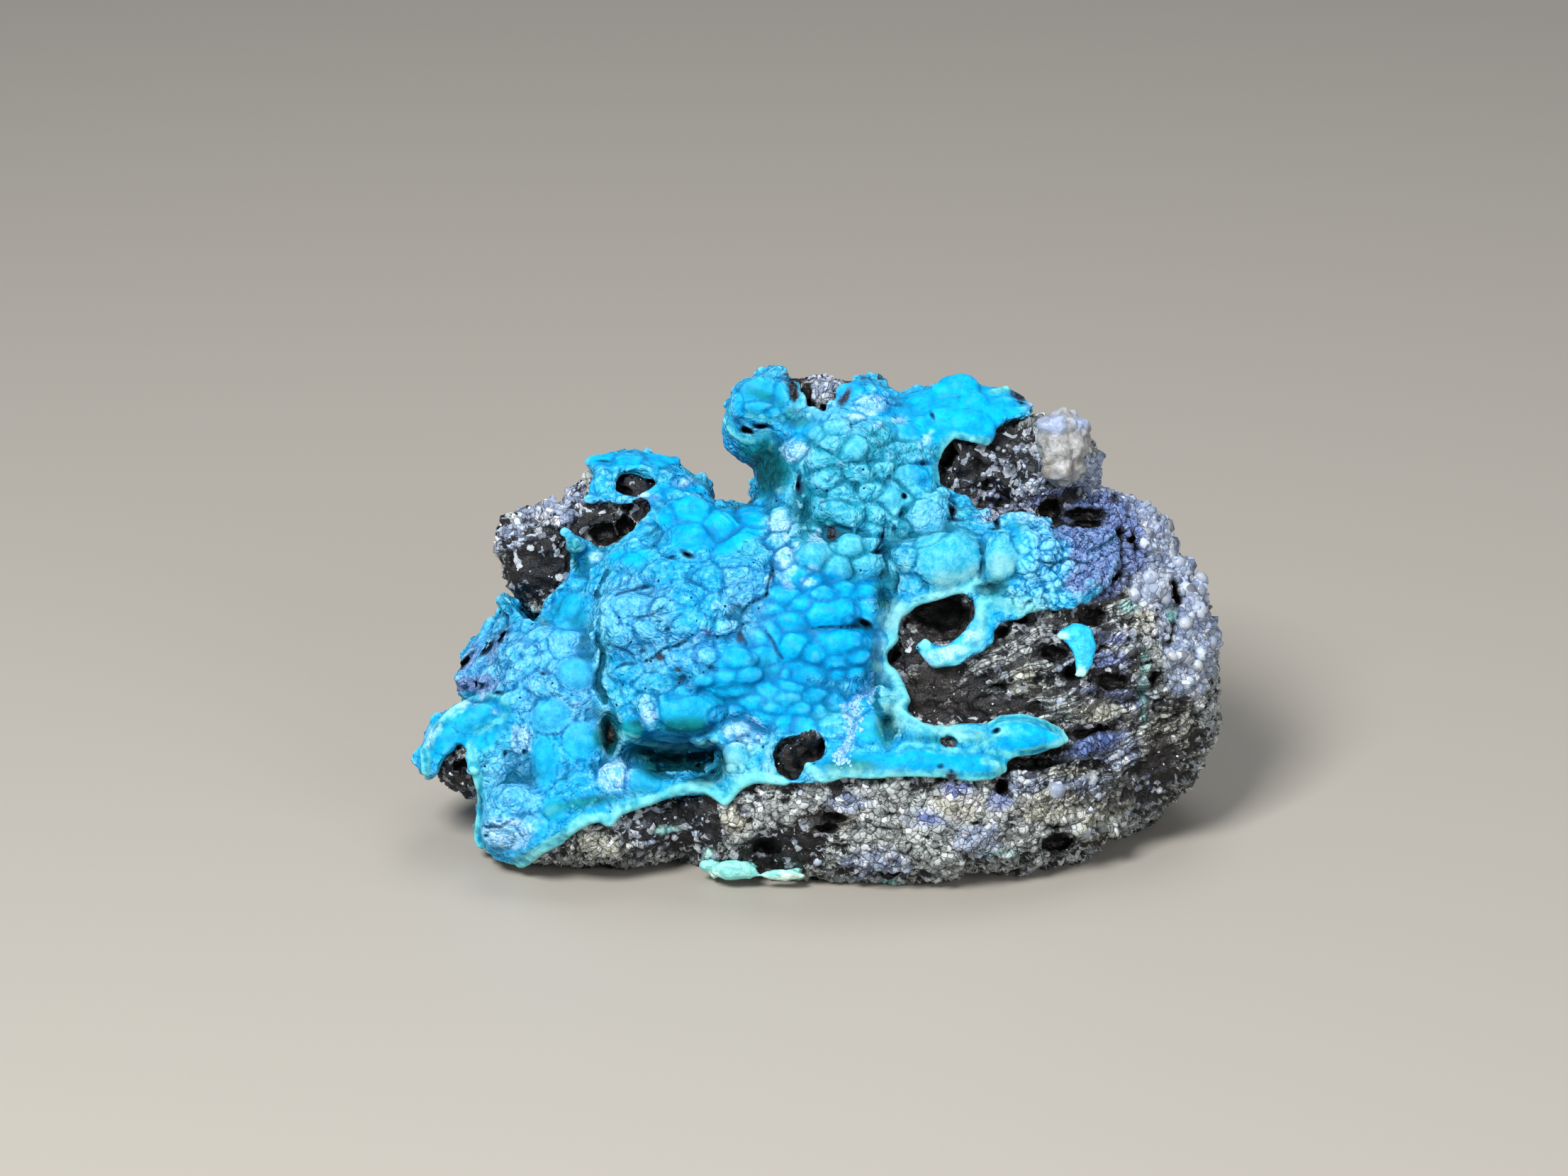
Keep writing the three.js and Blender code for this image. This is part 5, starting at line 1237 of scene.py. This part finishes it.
def matrixMaterial():
    material, g = newMaterial("matrixRock")
    place = placeOf(g)
    broad = g.noise(place, 2.4, 3.0, 0.6) - 0.5
    blot = g.noise(place, 0.6, 3.0, 0.6) - 0.5
    speck = g.noise(place, 0.16, 3.0, 0.65) - 0.5
    jitter = broad * 0.9 + blot * 0.7

    def zone(name, soft=0.3, spread=1.0):
        return g.step(fieldOf(g, name) + jitter * spread, -soft, soft)

    ground = paleGround(g, place, lambda name: fieldOf(g, name))
    bent = g.warped(place, 0.3, 0.16)
    edge = g.cells(bent, 0.4, "DISTANCE_TO_EDGE")
    kind = g.add("ShaderNodeSeparateXYZ", {}, {0: g.cells(bent, 0.4).other("Color")})
    light = g.step(ground + speck * 1.1 + (kind - 0.5) * 0.5, -0.12, 0.14)
    rind = zone("rind", 0.4)
    hue = g.mix(kind.other("Y"), colour("666c6e"), colour("c6cecc"))
    hue = g.mix(zone("lilac") * 0.8, hue, g.mix(kind.other("Y"), colour("606e90"), colour("b4c4de")))
    hue = g.mix(zone("cream") * 0.85, hue, g.mix(kind.other("Y"), colour("7e8070"), colour("d0d0c2")))
    hue = g.mix(zone("brown") * 0.7, hue, g.mix(kind.other("Y"), colour("4e4c44"), colour("9a968a")))
    hue = g.mix(zone("violet") * 0.85, hue, g.mix(kind.other("Y"), colour("4a5c9a"), colour("8c9ed4")))
    hue = g.mix(rind * 0.75, hue, g.mix(kind.other("Y"), colour("6c7a9a"), colour("a8bad6")))
    mood, back = g.noise(place, 5.0, 2.0), fieldOf(g, "back")
    hue = g.mix(g.step(mood, 0.52, 0.62) * back * 0.7, hue, g.mix(kind.other("Y"), colour("606e90"), colour("b4c4de")))
    hue = g.mix(g.step(mood, 0.46, 0.36) * back * 0.7, hue, g.mix(kind.other("Y"), colour("6e5f4a"), colour("b3a588")))
    hue = g.mix(g.step(kind.other("Z"), 0.86, 0.95) * 0.8, hue, colour("dfe2e8"))
    shade = g.mix(zone("brown") * 0.8, colour("0c0d12"), colour("1c1612"))
    shade = g.mix(g.step(speck + blot, 0.05, 0.4) * 0.5, shade, colour("474a54"))
    base = g.mix(light, shade, hue)
    base = g.mix(zone("turquoise", 0.15, 0.5) * 0.9, base, g.mix(g.step(blot, -0.2, 0.2), colour("4fa7ad"), colour("b4e0da")))
    line = g.cells(g.warped(place, 0.7, 0.4), 0.8, "DISTANCE_TO_EDGE")
    seam = g.math("ABSOLUTE", ledges(g, place) + speck * 0.03)
    base = g.mix(g.step(seam, 0.05, 0.02) * zone("layers") * (1 - rind) * 0.8, base, colour("0c0c10"))
    base = g.mix(g.step(edge + speck * 0.2, 0.06, 0.0) * light * (0.55 - rind * 0.3), base, colour("33343a"))
    base = g.mix(g.step(line + blot * 0.2 + speck * 0.1, 0.07, 0.0) * light * (0.75 - rind * 0.5), base, colour("121216"))
    fleck = g.step(kind.other("Z"), 0.8, 0.86) * (1 - light) * (1 - zone("brown")) * (1 - zone("turquoise"))
    base = g.mix(fleck * 0.7, base, g.mix(kind.other("Y"), colour("8a94a8"), colour("dce4ea")))
    # painted glints: tiny near-white points on some grains
    paintedGlint = g.step(g.cells(place, 0.5), 0.13, 0.07) * g.step(kind.other("Z"), 0.3, 0.5)
    base = g.mix(paintedGlint * 0.8, base, colour("f2f4f6"))
    plates = platesOf(g, place) + speck * 0.06
    plated = zone("plated", 0.3)
    base = g.mix(plated * 0.9, base, g.mix(g.step(blot + speck, -0.2, 0.2), colour("3d5490"), colour("8098cc")))
    base = g.mix(g.step(plates, 0.09, 0.02) * plated * 0.9, base, colour("0c1230"))
    # painted shade: near black in the rock's valleys and hollows, less on the rind
    base = g.mix(g.step(fieldOf(g, "valley"), 0.03, 0.16) * (0.8 - rind * 0.5), base, colour("08080a"))
    base = g.mix(g.step(fieldOf(g, "hollow"), 0.08, 0.4) * (0.7 - rind * 0.45), base, colour("08080a"))
    base = g.mix(g.step(fieldOf(g, "dark") + blot * 0.15, -0.12, 0.1), base, colour("030304"))
    rough = 0.42 + light * 0.25 + blot * 0.2
    height = speck * 0.8 + g.step(edge, 0.0, 0.12) * 0.6 * light + kind * 0.5
    surface(g, base, rough, height, 0.8, 0.0002, 0.4)
    return material


rockMaterial = matrixMaterial()
matrixRock = makeMatrix()
thinned(matrixRock, matrix["faces"], frontOf(pointsOf(matrixRock)) > 14)

sugar = {
    # grains over the pale ground, and bigger ones on the rind: smallest, largest, gap, density, sink, seed
    "fine": (0.25, 0.6, 0.4, 2.0, 0.08, 11),
    "coarse": (0.5, 1.3, 0.55, 1.6, 0.22, 12),
}


def crystalObject():
    # a stubby six-sided grain with a blunt point at each end
    rings = ((-0.95, 0.35), (-0.35, 0.9), (0.3, 1.0), (0.9, 0.45))
    points = []
    for number, (height, radius) in enumerate(rings):
        for side in range(6):
            turn = math.radians(60 * side + 9 * number)
            points.append((radius * math.cos(turn), 0.85 * radius * math.sin(turn), height))
    faces = []
    for ring in range(3):
        for side in range(6):
            a, b = ring * 6 + side, ring * 6 + (side + 1) % 6
            faces += [(a, b, b + 6), (a, b + 6, a + 6)]
    for side in range(1, 5):
        faces += [(0, side + 1, side), (18, 18 + side, 19 + side)]
    crystal = meshObject("crystal", np.array(points), np.array(faces))
    crystal.hide_render = True
    return crystal


def makeSugar(rock):
    # where the crust is close by, no grain grows; the rind carries the big ones
    points = pointsOf(rock)
    onFace = frontShare(points) > 0.5
    pale = blobField(points, matrix["pale"]) - np.clip(blobField(points, matrix["black"]), 0, 1)
    rind = blobField(points, matrix["rind"])
    patchy = wobbled(points, 1.2, 1.0, 8)[:, 0] - points[:, 0]
    plated = np.clip(blobField(points, matrix["plated"]) * 4 + 1, 0, 1)
    pale, rind = pale - plated, rind - plated
    lilac = blobField(points, matrix["lilac"]) - plated
    fine = np.where(onFace, np.clip(lilac * 0.5 + patchy * 0.3 - 0.05, 0, 0.4), np.clip(patchy * 0.4 - 0.05, 0, 0.5))
    coarse = np.where(onFace, np.clip(np.maximum(rind, pale * 0.1 - 0.05) + patchy * 0.1, 0, 0.6), np.clip(patchy * 0.3 - 0.15, 0, 0.4))
    hidden = np.array([blueTree.find_nearest(Vector(p))[3] < 0.5 for p in points])
    height = points @ np.array(faceToFrame)[2, :3] + faceToFrame[2][3]
    hidden |= height < 0.0009
    parts = []
    for name, thick in (("fine", fine), ("coarse", coarse)):
        smallest, largest, gap, density, sink, seed = sugar[name]
        part = meshObject(name, points, trianglesOf(rock))
        setField(part, "thick", np.where(hidden, 0, thick))
        runTree(
            part,
            strewn,
            {"Lump": crystal, "Gap": gap, "Density": density, "Smallest": smallest * 0.5,
             "Largest": largest * 0.5, "Sink": sink, "Where": "thick", "Seed": seed},
        )
        part.data.polygons.foreach_set("use_smooth", np.full(len(part.data.polygons), name == "coarse"))
        parts.append(part)
    return joined("sugarGrains", *parts)


def sugarMaterial():
    material, g = newMaterial("sugarQuartz")
    place = g.add("ShaderNodeTexCoord", output="Object")
    place = g.scaled(place, 1000.0)
    tone = g.cells(place, 0.7).other("Color")
    kind = g.add("ShaderNodeSeparateXYZ", {}, {0: tone})
    blot = g.noise(place, 1.6, 3.0, 0.6) - 0.5
    speck = g.noise(place, 0.15, 2.0, 0.6) - 0.5
    base = g.mix(kind, colour("78859e"), colour("b4c0d4"))
    base = g.mix(g.step(blot, -0.1, 0.15) * 0.7, base, g.mix(kind, colour("80827c"), colour("bcc0b8")))
    base = g.mix(g.step(kind.other("Y"), 0.8, 0.9) * 0.7, base, colour("4a4c56"))
    base = g.mix(g.step(speck, 0.1, 0.3) * 0.4, base, colour("d8e2ee"))
    surface(g, base, 0.35 + blot * 0.3, speck + blot, 0.4, 0.0001)
    return material


crystal = crystalObject()
blueTree = BVHTree.FromPolygons([v.co for v in blueShape.vertices], [p.vertices for p in blueShape.polygons])
sugarGrains = makeSugar(matrixRock)
bpy.data.objects.remove(crystal)
finished(sugarGrains, sugarMaterial(), smooth=False)
finished(matrixRock, rockMaterial, "matrix")

# the two small patches and the quartz knob

patches = {
    "voxel": 0.13,
    "right": [(15.6, 15.8, 0.8, 0.6), (16.2, 15.0, 0.6, 0.8), (16.1, 14.0, 0.5, 0.7), (14.9, 15.7, 0.5, 0.25, 10)],
    "foot": [(-5.4, 1.1, 1.5, 0.65), (-4.0, 0.8, 1.6, 0.5), (-6.9, 1.0, 1.0, 0.55), (-2.4, 0.8, 1.4, 0.4), (-7.2, 1.8, 0.35, 0.6), (-1.0, 0.7, 0.8, 0.25)],
    "tip": [(16.0, 13.3, 0.5, 0.4), (14.7, 15.6, 0.35, 0.2)],
}


def patchRelief(g, place, field, given):
    lumpy = g.cells(g.warped(place, 0.8, 0.3), 0.7, "SMOOTH_F1")
    return (0.4 - lumpy) * given["Lumps"] + (g.noise(place, 0.35, 2.0) - 0.5) * given["Grain"]


def makePatch(name, node, lumps, extra):
    base = modified(remeshed(cadCopy(node), 0.15), "SMOOTH", factor=0.5, iterations=4)
    joinedPiece = joined(name, base, lumpMesh(name + "Lumps", lumps, skinOf(base), 0.4))
    piece = remeshed(joinedPiece, patches["voxel"])
    modified(piece, "SMOOTH", factor=0.5, iterations=2)
    points = pointsOf(piece)
    for label, blobs in extra.items():
        setField(piece, label, blobField(points, blobs))
    return runTree(piece, patchTree, {"Lumps": 0.22, "Grain": 0.12})


def patchMaterial(name, low, high, tip):
    material, g = newMaterial(name)
    place = placeOf(g)
    blot = g.noise(place, 0.5, 3.0, 0.6) - 0.5
    speck = g.noise(place, 0.15, 2.0, 0.6) - 0.5
    base = g.mix(g.step(blot, -0.2, 0.2), colour(low), colour(high))
    base = g.mix(g.step(fieldOf(g, "tip") + blot, -0.2, 0.2), base, colour(tip))
    # painted shade in the patch's valleys
    base = g.mix(g.step(fieldOf(g, "valley"), 0.01, 0.08) * 0.6, base, colour("0b5f80"))
    base = g.mix(g.step(speck + blot * 0.5, 0.2, 0.35) * 0.5, base, colour("e4f4f2"))
    surface(g, base, 0.5 + blot * 0.2, blot + speck, 0.5, 0.0002)
    return material


patchTree = reliefTree("patchRelief", patchRelief, ("Lumps", "Grain"))
rightPatch = makePatch("bluePatchRight", "blue_patch_right", patches["right"], {"tip": patches["tip"]})
finished(rightPatch, patchMaterial("brightBlue", "0ea2dc", "22c3f2", "a9e6d4"), "blue_patch_right")
footPatch = makePatch("bluePatchFoot", "blue_patch_foot", patches["foot"], {"tip": [(-7.2, 0.7, 0.9, 0.3), (-2.0, 0.8, 0.9, 0.3)]})
finished(footPatch, patchMaterial("paleTurquoise", "6fc0bd", "97dcd2", "cfeede"), "blue_patch_foot")

quartz = {
    "voxel": 0.13,
    "lumps": [
        (14.9, 28.4, 1.3, 1.0), (15.2, 27.0, 1.2, 1.1), (14.4, 26.1, 0.9, 0.8), (15.6, 28.9, 0.9, 0.5, -20),
        (14.9, 25.6, 0.8, 0.5), (16.0, 27.6, 0.6, 0.9),
    ],
    "shadow": [(14.4, 26.5, 0.25, 0.14, 20), (13.9, 26.2, 0.4, 0.9, 10), (15.6, 26.0, 0.7, 0.2, 30)],
    "blue": [(14.4, 28.9, 1.0, 0.7), (16.3, 29.0, 0.5, 0.6)],
}


def quartzRelief(g, place, field, given):
    facets = g.cells(g.warped(place, 1.2, 0.3), 1.1, "F1")
    return (0.4 - facets) * given["Facets"] + (g.noise(place, 0.4, 3.0) - 0.5) * given["Grain"]


def makeQuartz():
    base = modified(remeshed(cadCopy("quartz_knob"), 0.2), "SMOOTH", factor=0.5, iterations=4)
    piece = joined("quartzKnob", base, lumpMesh("quartzLumps", quartz["lumps"], skinOf(base), 0.3))
    piece = modified(remeshed(piece, quartz["voxel"]), "SMOOTH", factor=0.5, iterations=2)
    points = pointsOf(piece)
    setField(piece, "shadow", blobField(points, quartz["shadow"]))
    setField(piece, "blue", blobField(points, quartz["blue"]))
    relief = reliefTree("quartzRelief", quartzRelief, ("Facets", "Grain"))
    return runTree(piece, relief, {"Facets": 0.7, "Grain": 0.4})


def quartzMaterial():
    material, g = newMaterial("milkyQuartz")
    place = placeOf(g)
    blot = g.noise(place, 0.7, 3.0, 0.6) - 0.5
    speck = g.noise(place, 0.15, 2.0, 0.6) - 0.5
    base = g.mix(g.step(blot, -0.2, 0.2), colour("7a7c7c"), colour("adadac"))
    base = g.mix(g.step(fieldOf(g, "blue") + blot, -0.4, 0.4) * 0.75, base, colour("90a2c8"))
    base = g.mix(g.step(fieldOf(g, "shadow") + blot * 0.3, -0.1, 0.1) * 0.7, base, colour("6b645c"))
    # painted shade in the knob's valleys
    base = g.mix(g.step(fieldOf(g, "valley"), 0.01, 0.07) * 0.6, base, colour("6e675d"))
    base = g.mix(g.step(speck, 0.1, 0.25) * 0.3, base, colour("d0d4da"))
    surface(g, base, 0.42 + blot * 0.3, blot + speck * 0.6, 0.5, 0.0002)
    return material


quartzKnob = makeQuartz()
finished(quartzKnob, quartzMaterial(), "quartz_knob")
bpy.data.objects.remove(roundBall)

# floor, light and camera

studio = {
    "centre": (-2.3, 18.6, 0.0),  # the middle of the picture, on the face
    "distance": 320,
    "width": 97.9,  # what the picture's width covers there
    "floor": "a29d94",
    "lights": [  # where each stands (frame, metres), its size and power
        ((-0.14, -0.25, 0.31), 0.13, 2.6),
        ((0.24, -0.3, 0.14), 0.2, 0.55),
        ((0.06, 0.14, 0.38), 0.2, 0.45),
    ],
    "world": ("e2e9f4", 0.25),
}


def makeStudio():
    bpy.ops.mesh.primitive_plane_add(size=3)
    floor = bpy.context.object
    floor.name = "floor"
    material, g = newMaterial("floor")
    shader = g.add("ShaderNodeBsdfPrincipled", {}, {"Base Color": colour(studio["floor"]), "Roughness": 0.6})
    g.add("ShaderNodeOutputMaterial", {}, {"Surface": shader})
    floor.data.materials.append(material)
    world = bpy.data.worlds.new("studio")
    bpy.context.scene.world = world
    world.use_nodes = True
    tint, strength = studio["world"]
    world.node_tree.nodes["Background"].inputs[0].default_value = (*colour(tint), 1)
    world.node_tree.nodes["Background"].inputs[1].default_value = strength
    for number, (place, size, power) in enumerate(studio["lights"]):
        light = bpy.data.lights.new(f"lamp{number}", "AREA")
        light.size, light.energy = size, power
        lamp = bpy.data.objects.new(light.name, light)
        lamp.location = place
        lamp.rotation_mode = "QUATERNION"
        lamp.rotation_quaternion = (Vector((0, 0, 0.012)) - Vector(place)).to_track_quat("-Z", "Y")
        bpy.context.scene.collection.objects.link(lamp)
    camera = bpy.data.objects.new("camera", bpy.data.cameras.new("camera"))
    bpy.context.scene.collection.objects.link(camera)
    u, v, w = studio["centre"]
    camera.matrix_world = (
        Matrix.Translation(faceToFrame @ Vector((u, v, w + studio["distance"]))) @ faceTurn
    )
    camera.data.sensor_fit = "HORIZONTAL"
    camera.data.angle = 2 * math.atan(studio["width"] / 2 / studio["distance"])
    camera.data.clip_start = 0.01
    bpy.context.scene.camera = camera
    bpy.context.scene.view_settings.view_transform = "Standard"


makeStudio()
print("studio ready")
